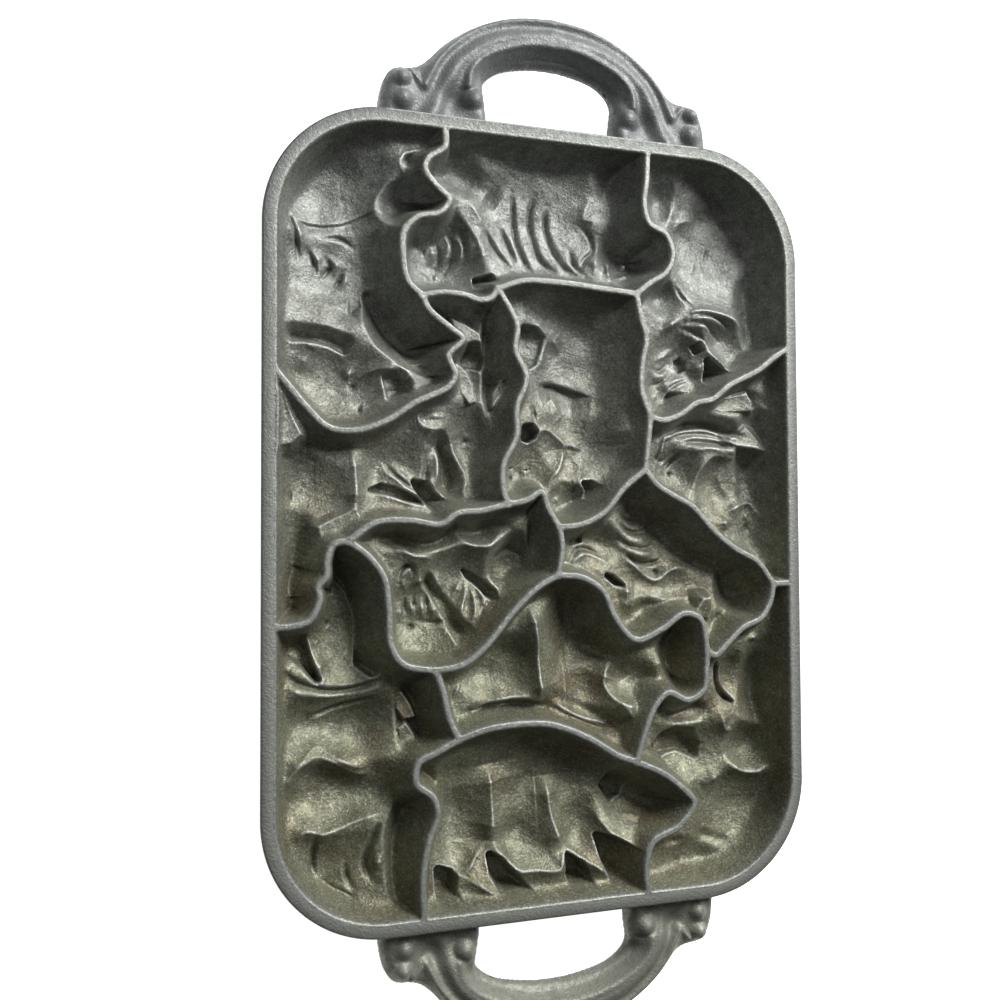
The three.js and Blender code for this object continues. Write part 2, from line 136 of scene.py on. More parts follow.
# Dividers: the two moulds that each one parts, and the points that its crest passes
DIVIDERS = [
    ("bison", "tiger", [
        RIM_TIGER, (-39.8, 129.7), (-45.6, 125.3), (-46.9, 121.2), (-43.1, 116), (-38.2, 111.2),
        (-41.6, 106.5), (-49.6, 104.2), (-54.3, 98.7), (-54.8, 90.7), (-53.1, 81.7), BISON_TIGER_DEER]),
    ("bison", "deer", [
        BISON_TIGER_DEER, (-45.6, 72.2), (-37.6, 66), (-33.4, 62.5), (-38.6, 56.7), (-36.2, 49.7),
        (-38.6, 45.7), (-50.6, 39.7), (-60.6, 33.2), (-71.6, 29.5), (-80.6, 30.4), (-88.1, 37.2),
        (-93.6, 43.7), RIM_BISON]),
    ("tiger", "deer", [
        BISON_TIGER_DEER, (-40.6, 78.5), (-32.6, 78.1), (-27.1, 76.7), (-22.6, 78), TIGER_DEER_HIPPO]),
    ("tiger", "hippo", [TIGER_DEER_HIPPO, (-10.6, 84.7), (4.4, 85.1), (19.4, 84.1), TIGER_ELEPHANT_HIPPO]),
    ("tiger", "elephant", [
        TIGER_ELEPHANT_HIPPO, (39.4, 87.5), (46.4, 92.2), (49.1, 98.7), (46.4, 106.2), (39.4, 110),
        (37.4, 116.7), (38.4, 126.7), RIM_ELEPHANT]),
    ("elephant", "hippo", [
        TIGER_ELEPHANT_HIPPO, (35.9, 73.7), (37.8, 66.7), (36, 56.7), (35.7, 47.7), ELEPHANT_HIPPO_GOAT]),
    ("elephant", "goat", [
        ELEPHANT_HIPPO_GOAT, (44.4, 36.5), (51.4, 38.7), (58.4, 43.4), (65.4, 45.2), (73.4, 51.1),
        (85.4, 57), (92.4, 62.2), RIM_GOAT]),
    ("hippo", "goat", [ELEPHANT_HIPPO_GOAT, (38.2, 28.7), HIPPO_GOAT_HORSE]),
    ("goat", "horse", [
        HIPPO_GOAT_HORSE, (41.4, 12.7), (49.4, 8), (56.4, 4.4), (65.4, -4.7), (74.4, -11.3), (84.4, -16.7),
        GOAT_HORSE_MONKEY]),
    ("goat", "monkey", [GOAT_HORSE_MONKEY, RIM_MONKEY]),
    ("hippo", "horse", [HIPPO_GOAT_HORSE, (28.4, 11.4), (20.4, 2.4), (11.4, -2.1), HIPPO_HORSE_LION]),
    ("horse", "lion", [HIPPO_HORSE_LION, (3.6, -11.3), HORSE_LION_CAMEL]),
    ("deer", "hippo", [
        TIGER_DEER_HIPPO, (-15.6, 73.7), (-13.2, 68.2), (-13.9, 59.7), (-9.8, 49.7), (-13.4, 39.7),
        (-13.8, 28.7), (-18.6, 18.7), (-18.6, 9.7), DEER_HIPPO_LION]),
    ("hippo", "lion", [DEER_HIPPO_LION, (-10.1, 6.4), (-4.1, 9.3), (-1.6, 3.2), HIPPO_HORSE_LION]),
    ("deer", "lion", [
        DEER_HIPPO_LION, (-26.6, 2.7), (-35.6, 1.7), (-41.6, -2.1), (-52.6, -0.8), (-64.6, -1.6),
        DEER_LION_RHINO]),
    ("deer", "rhino", [
        DEER_LION_RHINO, (-78.6, -8.8), (-80.9, -14.3), (-81.1, -19.3), (-83.8, -22.8), (-83.4, -27.3),
        (-86.6, -33.8), (-91.6, -35.6), RIM_DEER]),
    ("lion", "rhino", [
        DEER_LION_RHINO, (-66.6, -13.3), (-61.6, -20.3), (-59.9, -31.3), (-59.1, -43.3), (-54.6, -49.8),
        LION_RHINO_CAMEL]),
    ("lion", "camel", [
        LION_RHINO_CAMEL, (-33.6, -50.6), (-25.6, -44.8), (-14.6, -32.3), (-5.6, -24.3), HORSE_LION_CAMEL]),
    ("rhino", "camel", [LION_RHINO_CAMEL, (-41.1, -59.3), (-38.6, -69.3), RHINO_CAMEL_BEAR]),
    ("rhino", "bear", [
        RHINO_CAMEL_BEAR, (-43.6, -80.3), (-49.6, -83.3), (-50.3, -90.3), (-44.6, -95.3), (-42.9, -101.3),
        (-46.1, -110.3), (-48.1, -121.3), RIM_RHINO]),
    ("camel", "bear", [
        RHINO_CAMEL_BEAR, (-24.6, -73.3), (-10.6, -72.3), (-0.6, -73.3), (13.4, -78.9), (25.4, -86.1),
        CAMEL_BEAR_MONKEY]),
    ("camel", "monkey", [
        CAMEL_BEAR_MONKEY, (36.2, -77.3), (40.2, -68.8), (45.4, -64.3), (53.9, -67.3), (60.4, -63.8),
        (61.6, -55.3), HORSE_CAMEL_MONKEY]),
    ("bear", "monkey", [
        CAMEL_BEAR_MONKEY, (43.4, -93.8), (50.4, -99.1), (55.8, -105.3), (49.4, -113.3), (38.9, -118),
        (36.1, -125.3), RIM_BEAR]),
    ("horse", "camel", [
        HORSE_LION_CAMEL, (11.4, -21.3), (19.4, -26.3), (24.4, -36.3), (32.4, -44.3), (43.4, -40.6),
        (52.4, -35.3), (59.4, -37.8), HORSE_CAMEL_MONKEY]),
    ("horse", "monkey", [
        HORSE_CAMEL_MONKEY, (65.4, -51.3), (70.4, -47.3), (77.4, -41.3), (85.4, -37.8), (89.7, -31.3),
        GOAT_HORSE_MONKEY]),
]

# Carving of each animal
# Floor: the depth of its general floor
# Hollows: ovals sunk in it (centre, half lengths, turn, depth)
# Flats left standing and pits sunk in it (depth, steepness of the sides, corners)
# Creases: edges that stand up sharply (height, reach, points)
# Ridges stand up softly and grooves are sunk softly (height, half width, points)
# Folds sink the floor on the left of a line (step, reach, points)
ANIMALS = {}
ANIMALS["bison"] = {
    "floor": 8,
    "hollows": [
        (-78, 114, 21, 19, 0, 18), (-70, 86, 27, 17, 0, 17.5), (-76, 47, 21, 14, -12, 15.5),
        (-51, 110, 12, 10, 0, 17), (-43, 53, 10, 3.5, -8, 13)],
    "pits": [
        (14, 2.5, [(-51, 126), (-45, 128), (-43, 124), (-43, 121), (-48, 121)]),
        (15.5, 1.6, [(-52, 116.5), (-46, 117.5), (-39, 115.5), (-39, 113.5), (-44, 112.5), (-52, 112.5)]),
        (19, 1.5, [(-64, 79), (-53, 80), (-45, 73), (-37, 66), (-37, 62), (-43, 59), (-51, 59), (-57, 64),
            (-62, 72)]),
        (14, 1.6, [(-91, 62.8), (-80, 62.3), (-73, 60), (-73, 57.5), (-78, 60.3), (-84, 62)]),
        (13.5, 1.5, [(-59, 49), (-55, 49.5), (-53, 47), (-53.5, 44.5), (-57, 42.5), (-58.5, 45.5)]),
        (15.5, 1.8, [(-70, 83), (-67, 81), (-67, 75), (-70, 72), (-71, 78)])],
    "creases": [
        (1.4, 1.8, [(-37, 133), (-44, 130), (-51, 127.5), (-54.5, 125.5), (-53.5, 122), (-50, 119.5)]),
        (2.5, 3, [(-50, 119.5), (-57, 118.5), (-60.5, 114.5), (-62.5, 109.5), (-61.5, 105.5), (-58, 102),
            (-54, 100.5)]),
        (2, 2.4, [(-57, 110.5), (-50, 109.7), (-42, 110)]),
        (1.5, 1.6, [(-63, 67.5), (-58, 63), (-54, 58.5), (-50, 56), (-40, 57.5), (-34, 59.5)]),
        (2, 2.1, [(-56, 60.5), (-52, 56), (-47, 52.5)]),
        (2.9, 2.7, [(-69, 48), (-65, 51), (-61, 52), (-56, 51.5), (-52, 49), (-50, 45.5), (-51, 43.5)]),
        (2.1, 2.1, [(-60.5, 50), (-59.5, 45.5), (-57.5, 41.5)]),
        (2, 2.4, [(-91, 61), (-84, 58.5), (-80, 56)]),
        (1.7, 2.1, [(-85, 57.5), (-87, 53), (-89, 50)]),
        (2.5, 2.4, [(-73, 49), (-71, 50.5), (-69.5, 49.5)]),
        (2, 2.4, [(-91.5, 105), (-89, 98), (-87, 91)]),
        (2, 2.1, [(-84.5, 93.5), (-81.5, 89), (-81, 85.5)]),
        (2, 2.1, [(-77.5, 91.5), (-75, 88.5), (-76.5, 85.5)]),
        (1.7, 2.1, [(-71, 87), (-72, 83), (-74, 80)])],
    "ridges": [
        (1.5, 1.3, [(-90, 118), (-86, 120.5), (-82.5, 124.5), (-79, 128.5), (-73, 131)]),
        (8, 7, [(-53, 106), (-53, 95), (-55, 84)])],
    "grooves": [
        (2.2, 0.9, [(-94, 107), (-91, 101), (-89.5, 95), (-88.5, 89)]),
        (2.4, 0.9, [(-86, 93), (-83.5, 90), (-82.5, 86), (-83, 84)]),
        (2.2, 0.8, [(-79, 91), (-77, 88.5), (-78.5, 86), (-80.5, 83.5)]),
        (2.2, 0.8, [(-72.5, 87), (-74, 83), (-76, 80)]),
        (1.8, 0.8, [(-80, 97.5), (-74, 98), (-69, 95)]),
        (2.2, 1.6, [(-68.5, 37.5), (-66.5, 37)]),
        (1.8, 1.2, [(-70, 47.5), (-69, 44)])],
    "folds": [
        (1.6, 8, [(-60, 109), (-67, 106), (-74, 103), (-84, 102), (-92, 103)])],
}
ANIMALS["tiger"] = {
    "floor": 8,
    "hollows": [
        (3, 112, 33, 27, 0, 17), (38, 102, 17, 13, 0, 19.5), (-38, 95, 15, 16, 0, 19),
        (-30, 123, 15, 8, -25, 15), (33, 126, 14, 12, 0, 17)],
    "pits": [
        (16.5, 5, [(-25.5, 86.5), (-20, 87), (-19, 84.5), (-22, 83), (-25.5, 83.5)])],
    "creases": [
        (2.9, 3, [(-34, 112), (-29, 106), (-25, 100), (-23.5, 94), (-25, 89)]),
        (2, 2.1, [(-30, 116), (-25, 110), (-21, 103)]),
        (2.1, 2.7, [(-37, 104), (-34.5, 100), (-35, 95), (-38, 90)]),
        (2.1, 2.7, [(-33, 104), (-30, 98.5), (-30.5, 93), (-33, 89)]),
        (2.1, 2.4, [(-29, 104), (-27, 98), (-28, 92)]),
        (2.1, 2.7, [(-41.5, 101), (-40, 96), (-40.5, 91)]),
        (2.5, 3.3, [(25, 100), (21.5, 96), (22, 91)]),
        (2.1, 3, [(34, 93.5), (35, 90.5)]),
        (2.1, 2.4, [(17, 111), (19, 117), (22, 122)]),
        (2, 2.1, [(20, 117), (18.5, 113), (22, 112), (21, 108), (22.5, 104)])],
    "ridges": [
        (1.2, 1.2, [(-46, 88), (-43, 86.5), (-42, 84)]),
        (1.2, 1, [(-40, 88), (-37, 86.5)]),
        (4, 1.5, [(34, 94), (36.5, 99)]),
        (3, 1.1, [(30, 98), (27, 95), (27.5, 91)])],
    "grooves": [
        (2.2, 0.9, [(-22, 106), (-17, 98.5), (-11, 90.5)]),
        (2.2, 0.9, [(-15, 108), (-11, 100.5), (-9, 92.5)]),
        (2.2, 1, [(-9.5, 121), (-8.5, 110), (-7.5, 101), (-5, 95), (-2, 89.5)]),
        (2.2, 1, [(-0.5, 121), (-2, 113), (-0.5, 101.5), (2.5, 95.5), (8, 90.5)]),
        (2.2, 1, [(4.5, 117.5), (4.5, 108.5), (6.5, 101.5), (10.5, 94.5), (16, 90)]),
        (2, 0.9, [(12.5, 101.5), (14.5, 95.5), (18, 90.5)]),
        (2, 0.9, [(17.5, 110.5), (21.5, 106.5), (22.5, 101.5), (18.5, 97.5), (16.5, 93.5)]),
        (1.6, 0.9, [(26.5, 94.5), (26.5, 90.5)]),
        (1.6, 0.8, [(-35.5, 104), (-32.5, 99), (-33, 94), (-35.5, 89)]),
        (1.6, 0.8, [(-31, 104.5), (-28.5, 98), (-29, 92)]),
        (1.6, 0.8, [(-39, 101), (-37.5, 96), (-38.5, 91)]),
        (1.4, 0.9, [(-44, 99), (-43, 94)]),
        (3, 4, [(-20.5, 119.5), (-14.5, 115.5)])],
}
ANIMALS["elephant"] = {
    "floor": 8,
    "hollows": [
        (77, 108, 26, 27, 0, 18.5), (91, 87, 11, 24, 0, 18), (56, 59, 13, 15, 0, 15),
        (80, 67, 15, 9, -35, 15.5), (48, 48, 6, 9, 20, 13.5), (50, 85, 8, 8, 0, 14),
        (50, 122, 7, 11, 0, 15)],
    "pits": [
        (18, 5, [(68, 61), (72, 58), (77, 55), (73, 53), (68, 53.5)]),
        (17.5, 5, [(57, 61), (59, 62.3), (60.5, 61), (60.5, 58), (58.5, 56.8), (57, 58.5)]),
        (15.5, 4, [(62.5, 66.5), (64.5, 67.3), (65.8, 65.5), (64.3, 64.3)]),
        (16, 3, [(53, 47.5), (60, 47.5), (65, 46), (60, 43), (54, 41.5), (51, 44)])],
    "creases": [
        (2, 2.4, [(56, 111), (58, 114.5), (63, 116.5), (68, 116.5)]),
        (1.4, 1.6, [(52, 113), (54, 118), (55, 123)]),
        (2, 2.4, [(46, 127.5), (50, 130), (55, 131)]),
        (2.5, 2.4, [(57, 77), (63, 80), (71, 80), (80, 77.5), (89, 74)]),
        (2.1, 2.7, [(60, 76.5), (67, 77.3), (74, 75.5), (79, 72)]),
        (2.1, 2.7, [(58, 74), (65, 73.5), (70, 71), (73, 68)]),
        (2.5, 2.7, [(56, 72), (61, 69.5), (66, 66), (71, 61), (78.5, 55.5)]),
        (2.1, 2.4, [(45, 53.5), (50, 55), (54, 58)]),
        (2.1, 2.4, [(50, 50), (55, 53), (62, 55)]),
        (2.1, 2.7, [(52, 48), (57, 51), (63, 53)]),
        (2, 2.4, [(44, 49), (47, 47), (49, 44)]),
        (2.5, 3, [(62, 62), (64.5, 58), (63, 55)])],
    "ridges": [
        (2.4, 1.6, [(47, 70), (52, 74), (57, 77)]),
        (1.4, 1.2, [(45, 60), (51, 62.5), (56, 66)])],
    "grooves": [
        (1.8, 0.8, [(55, 90), (58.5, 85), (63, 80.8)]),
        (1.8, 0.8, [(60, 78.3), (68, 78.7), (76, 76.7), (82, 73.5)]),
        (1.8, 0.8, [(58, 75.3), (66, 75.3), (72, 73), (76, 70)]),
        (1.6, 0.8, [(57, 73), (62, 71.5), (68, 67.5)]),
        (1.8, 0.9, [(44, 57), (50, 57), (54, 60)]),
        (1.4, 0.7, [(45, 51), (49, 52), (54, 55.5)]),
        (1.4, 0.7, [(51, 48.5), (56, 52), (62, 54)]),
        (1, 2.2, [(72, 105), (75, 104)]),
        (0.8, 2, [(66, 98), (68, 97)])],
}
ANIMALS["deer"] = {
    "floor": 9,
    "hollows": [
        (-85, 12, 12, 13, 0, 13.5), (-56, 16, 17, 13, 0, 14.5), (-28, 23, 10, 19, 0, 16.5),
        (-18, 57, 6, 25, 0, 17), (-34, 72, 12, 6, -35, 15.5), (-28, 53, 7, 11, 15, 14),
        (-89, -16, 7, 21, 0, 15.5), (-82, 31, 13, 8, -40, 16)],
    "flats": [
        (2.5, 1.6, [(-100, 45), (-95.5, 41), (-92.5, 34), (-89.5, 28), (-93, 25), (-100, 23)]),
        (5.5, 1.8, [(-83, -3), (-77, 0), (-70.5, 3), (-68, -1), (-73, -6), (-79.5, -8.5), (-82, -7)]),
        (8, 3, [(-35, 71), (-30, 69), (-25, 66), (-24, 61), (-26, 60), (-30, 62.5), (-33, 65)]),
        (9, 3, [(-33.5, 55), (-30.5, 54), (-27.5, 48), (-26, 42), (-28.5, 41), (-31.5, 45), (-33, 50)]),
        (9, 3, [(-20, 40), (-17.5, 44), (-15, 48), (-16.5, 49.5), (-19.5, 45)])],
    "pits": [
        (17, 5, [(-64, 10), (-60, 12), (-55, 11), (-50, 8.5), (-46, 6), (-52, 7), (-58, 9)]),
        (19, 1.4, [(-37.5, 25), (-34, 19), (-33, 14), (-34.5, 10.5), (-36, 12), (-36.5, 18)]),
        (18.5, 4, [(-48, 13), (-44, 12), (-41, 9), (-37, 6), (-34.5, 3), (-36.5, 2), (-41, 4), (-45, 8.5)]),
        (17, 2.5, [(-31.5, 58.5), (-26.5, 60), (-22.5, 58), (-23.5, 55), (-28.5, 55.5)])],
    "creases": [
        (2.5, 2.4, [(-36.5, 31), (-36, 26), (-32, 21), (-29, 15.5), (-29.5, 11), (-33, 7.5)]),
        (2.5, 2.4, [(-37, 38.7), (-43, 38.3), (-47, 36.7), (-48, 34.7), (-46, 32.2), (-42, 31.4),
            (-37, 31.8)]),
        (2, 2.4, [(-46, 35), (-42, 35.7), (-37, 36.2)]),
        (2.1, 2.4, [(-60, 20.5), (-58, 16), (-53, 13), (-48, 9.5)]),
        (2, 2.1, [(-56, 19.5), (-53, 15.5), (-48, 12.5)]),
        (2.5, 2.7, [(-66, 9), (-58, 7.5), (-51, 5.5), (-44, 3.5)]),
        (4.2, 4, [(-71, 24), (-70, 12), (-70.5, 2)])],
    "ridges": [
        (2.6, 1.2, [(-40.5, 27), (-39.3, 20), (-39.8, 13), (-40.5, 10)]),
        (1.4, 1, [(-28, 73.5), (-22, 72), (-18, 68.5), (-16, 62.5), (-15.5, 54.5), (-15, 48.5)])],
    "grooves": [
        (3, 1.5, [(-43.5, 26), (-43, 20), (-43.5, 14), (-45, 10)]),
        (1.6, 0.7, [(-58, 19), (-55, 15.5), (-50, 11.5), (-46, 9)]),
        (1.5, 1.8, [(-92.5, 7.5), (-90.5, 7.5)]),
        (1.2, 0.8, [(-29.5, 28.5), (-26.5, 27.5)])],
}
ANIMALS["hippo"] = {
    "floor": 9,
    "hollows": [
        (14, 57, 21, 25, 0, 17.5), (14, 28, 19, 17, 0, 16.5), (-4, 18, 12, 13, 0, 15.5),
        (13, 6, 13, 10, 0, 16.5)],
    "flats": [
        (14.5, 1, [(-3, 34), (-1, 42), (5, 44), (9, 38), (4, 33)])],
    "pits": [
        (15.5, 3, [(-7, 69), (-2, 69), (1, 67), (0, 62), (-2, 57), (-4, 56), (-7.5, 60)]),
        (18, 5, [(-7, 33), (-4, 33.5), (-2.5, 32), (-3, 30), (-5, 28.7), (-7, 29.5)]),
        (18.5, 4, [(17, 13), (19.5, 13), (22, 11), (23.5, 8), (23, 5), (20, 6.5), (18, 8), (18.7, 10.5)])],
    "creases": [
        (2.5, 2.4, [(-7.5, 70.8), (-3, 70.8), (0, 69.5), (2.5, 67.5), (1.5, 62.5), (0, 57), (-2.5, 53.5)]),
        (1.7, 2.4, [(2.5, 67.5), (6.5, 65.5), (9.5, 62.5)]),
        (2.5, 2.4, [(-5, 28), (-2, 30.5), (0, 32.5), (3, 32.5), (7, 30), (10.5, 26.7), (9.5, 22), (7.5, 18),
            (4.5, 15), (2.5, 11.5)]),
        (1.7, 2.4, [(10.5, 26.7), (15, 26.4), (19, 25.8)]),
        (2.9, 3, [(12, 10.5), (14, 13), (17, 12), (17, 9), (14, 8)])],
    "ridges": [
        (3, 5, [(32, 79), (32.5, 63), (31, 45), (32, 27)]),
        (4.5, 5, [(-9, 81), (7, 81.5), (25, 80)]),
        (1.6, 2.6, [(-8, 17), (-3, 17.5)]),
        (1.2, 1.5, [(8, 9), (6, 5)])],
    "grooves": [
        (1.8, 1, [(-5, 18.5), (-5, 17.5)]),
        (1.8, 1, [(-11.5, 19), (-11.5, 18)]),
        (1.8, 0.9, [(-12.5, 15), (-10.5, 14.2)]),
        (1.4, 1.1, [(13.5, 10.7), (15, 10.5)]),
        (1.6, 1, [(-3, 34), (-3.3, 38), (-4, 42)])],
    "folds": [
        (4, 9, [(22, 46), (16, 47.5), (10, 49.5), (4, 50.3), (-1, 49.3)]),
        (1.5, 6, [(19, 25.8), (15, 26.4), (10.5, 26.7), (9.5, 22), (7.5, 18), (4.5, 15), (2.5, 11.5)])],
}
ANIMALS["goat"] = {
    "floor": 9,
    "hollows": [
        (89, 15, 9, 30, 0, 18), (77, 12, 16, 14, -30, 15), (69, 34, 26, 6, -6, 15),
        (55, 19, 11, 10, 20, 14.5), (82, 46, 12, 5, 0, 14.5), (85, -3, 10, 9, -30, 14)],
    "flats": [
        (11, 1, [(77, 30), (83, 33), (86, 35.5), (89, 33), (92, 29), (93, 27), (87, 27.5), (81, 28)]),
        (9, 2, [(69, 43), (75, 46.5), (85, 49), (87, 46), (87.5, 42.5), (80, 42), (73, 41.5)])],
    "creases": [
        (2.5, 2.4, [(57, 30.5), (65, 31.4), (73, 30.8), (81, 28.8), (88, 28.3), (96, 26.5)]),
        (2.1, 2.7, [(53, 27.2), (61, 26.2), (69, 27), (77, 24.8)]),
        (2.1, 3.3, [(52, 36.5), (60, 38.3), (70, 38.5), (80, 37)]),
        (2.5, 2.4, [(61.3, 10), (62.5, 14), (64, 18.5), (66.5, 22), (69.5, 24), (74, 24.2), (80, 23.4)]),
        (1.7, 2.7, [(74.5, 21), (75, 16), (77.5, 11), (81, 7)]),
        (1.7, 2.7, [(82, 20), (83, 15), (86, 10)]),
        (3.5, 2.4, [(75.5, 1.5), (79, 3.5), (82.5, 5), (86.5, 6), (89.5, 6), (92.5, 1.5), (96.5, -2)]),
        (3.5, 2.4, [(96.5, -2), (93.5, -5), (92, -11)]),
        (2.9, 2.4, [(76, 1.5), (75, -1.5), (76, -4.5)]),
        (2.9, 2.4, [(86.5, 6), (87.5, 1), (90.5, -2)]),
        (2.5, 2.7, [(89.5, 49), (91.5, 45), (95, 42), (100, 39.7)]),
        (2.5, 3.3, [(46.5, 25.5), (48.5, 25)])],
    "ridges": [
        (1.6, 1, [(46, 29), (54, 32.5), (61, 34), (69, 34.2), (76, 32.5), (84, 30.5)])],
    "grooves": [
        (3.2, 1.5, [(54, 35.2), (62, 36.8), (70, 36.8), (78, 34.8), (86, 31.5)]),
        (2.6, 1.1, [(56, 29), (64, 29.7), (72, 29.2), (81, 27.2)]),
        (2.4, 0.9, [(60, 26.5), (56.5, 24), (54, 21.7), (52, 19.7), (51.5, 17)]),
        (1.8, 0.8, [(46, 23), (49, 22), (52, 23.5)]),
        (1.6, 0.8, [(53, 18), (55, 16.5)]),
        (1.6, 1.6, [(86.5, -2.3), (88.5, -4.3)])],
}
ANIMALS["horse"] = {
    "floor": 9,
    "hollows": [
        (85, -25, 14, 14, 0, 19.5), (53, -6, 28, 13, -34, 17.5), (50, -23, 24, 10, -14, 15),
        (21, -10, 14, 9, -10, 14), (44, -35, 16, 7, 12, 15), (74, -43, 6, 10, -10, 15)],
    "flats": [
        (6, 2, [(59.5, -36), (63, -30.5), (66.5, -30), (67.5, -34), (66, -37.5), (62, -37)])],
    "pits": [
        (16, 5, [(10.5, -5.5), (15.5, -5), (16, -8.5), (11, -9)]),
        (15.5, 5, [(25, -21), (28, -21.7), (32, -24.7), (29, -24)])],
    "creases": [
        (3.4, 3, [(33, -15), (39, -19.5), (45, -23), (48.5, -22.5), (52, -20), (56, -18.6), (61, -19)]),
        (2.5, 2.4, [(42, -31), (50, -30.5), (58, -29.7), (68, -29.5)]),
        (2.5, 2.4, [(34, -36.5), (40, -36.5), (44, -34), (48, -31.5), (52, -30.7)]),
        (2.5, 2.7, [(29, -28), (33, -27), (36, -28.5)]),
        (2.1, 2.4, [(30, -31), (35, -32.5), (40, -31)]),
        (2.9, 3, [(10.5, -17.5), (12.5, -14.5), (15.5, -13), (19.5, -13.3), (24, -15.3), (27.5, -18)]),
        (2, 2.7, [(32, -6), (39, -7.8), (46, -7.3)]),
        (2, 2.7, [(31, -11.8), (37, -13.8), (45, -13.3)]),
        (2.1, 2.7, [(71.5, -34.5), (75.5, -37.5), (79.5, -39.5), (85, -39.5)])],
    "ridges": [
        (2, 1.6, [(53, -34.5), (56, -32.3), (60, -31.7)])],
    "grooves": [
        (2.4, 1, [(30, -1), (34, -4), (38.5, -5.2), (45, -4.7)]),
        (2.4, 1, [(30, -7.5), (35, -10), (41.5, -11.2), (48, -10.2)]),
        (2.4, 1, [(32, -12.7), (38.5, -16), (45, -16.8), (51, -15)]),
        (1.6, 0.9, [(31, 3), (36, -0.4), (43, -0.9)]),
        (2, 1, [(10, -16), (12, -13), (14.5, -11.3), (19, -11.5), (25, -15)]),
        (1.8, 0.9, [(51.5, -31.5), (52, -34.5)]),
        (1.6, 0.9, [(45.5, -20.3), (48.5, -20.5)])],
}
ANIMALS["lion"] = {
    "floor": 8,
    "hollows": [
        (-11.5, -17, 10.5, 11, 0, 18), (-31, -25, 14, 16, 30, 15.5), (-46, -35, 14, 17, 0, 15.5),
        (-46.5, -6.3, 15, 5, 0, 15.5), (-24.5, -4.3, 11, 5, 5, 15), (-18.5, -35.3, 17, 6, 45, 14.5),
        (-0.5, -7.3, 6, 12, 0, 17)],
    "pits": [
        (17, 1.6, [(-43, -22.5), (-40, -25), (-36.5, -29), (-33.5, -33), (-31.5, -38), (-28, -43),
            (-33, -38), (-38, -31)]),
        (17.5, 4, [(-29.5, -18.5), (-26, -20), (-22, -23), (-19, -26), (-19, -28.5), (-21.5, -27),
            (-25, -23.5), (-28, -21)]),
        (17, 1.8, [(-17, -21), (-17, -14), (-12, -10.5), (-7, -13), (-6, -18), (-9, -23)])],
    "creases": [
        (2.8, 2.5, [(-57, -5), (-56, -8), (-53, -11), (-50, -13), (-47, -13.2), (-43, -14), (-40, -15)]),
        (2.8, 2.5, [(-34, -3), (-32, -6.5), (-29, -9), (-25.5, -9.7), (-21, -9), (-19, -7), (-16, -5),
            (-13, -3.5)]),
        (2.5, 1.6, [(-29.5, -20), (-32, -25), (-34.5, -30)]),
        (2.8, 1.6, [(-28.8, -21), (-29.3, -27), (-30.8, -33), (-29.5, -38)]),
        (2.8, 1.6, [(-28, -22), (-26.3, -28), (-26, -33), (-28, -38.5)]),
        (2.5, 1.6, [(-27, -22.5), (-23.5, -26.5), (-21.5, -30)]),
        (2.5, 1.6, [(-25, -25.5), (-22.7, -29.5), (-22.3, -33), (-24.5, -38)]),
        (2.5, 2, [(-39, -19), (-40, -23), (-37, -28)]),
        (2.2, 1.5, [(-53.5, -29), (-53, -37)]),
        (2.2, 1.5, [(-48.7, -27), (-47.7, -36)]),
        (2.2, 1.5, [(-45.5, -27), (-44.2, -36.5)]),
        (2.5, 1.8, [(-42, -29), (-40, -35.5)]),
        (1.7, 1.2, [(-52, -20.5), (-52.5, -23), (-51, -25.5)]),
        (2.2, 1.5, [(-50, -22.5), (-46, -21.8), (-43, -20.5)]),
        (2.1, 2, [(-20, -20), (-19.5, -14), (-16, -9.5), (-11, -7.5)]),
        (3.1, 2, [(-8, -26.5), (-12, -29.5), (-16, -33.5)]),
        (2.8, 2, [(-17, -30.5), (-20.5, -33.5), (-23.5, -37.5), (-26, -42)])],
    "grooves": [
        (2, 1.1, [(-6, -29), (-12, -33), (-17, -38), (-21, -42.5)]),
        (2, 1, [(-18.5, -29), (-22, -31.5), (-24.5, -36)]),
        (2, 0.9, [(-50.5, -37.8), (-47, -38.6)]),
        (2, 0.9, [(-44.5, -36.5), (-41, -37.2), (-37.5, -37), (-35.5, -39.5)]),
        (1.6, 0.8, [(-43.5, -26), (-43, -30), (-43, -34)]),
        (1.6, 0.7, [(-48, -27), (-47.5, -33)]),
        (1.6, 0.8, [(-51.5, -27), (-51, -35)]),
        (3, 0.9, [(-54.5, -22.5), (-54, -19), (-52, -16.8), (-50, -16.7), (-49, -19), (-49.3, -21.5)])],
}
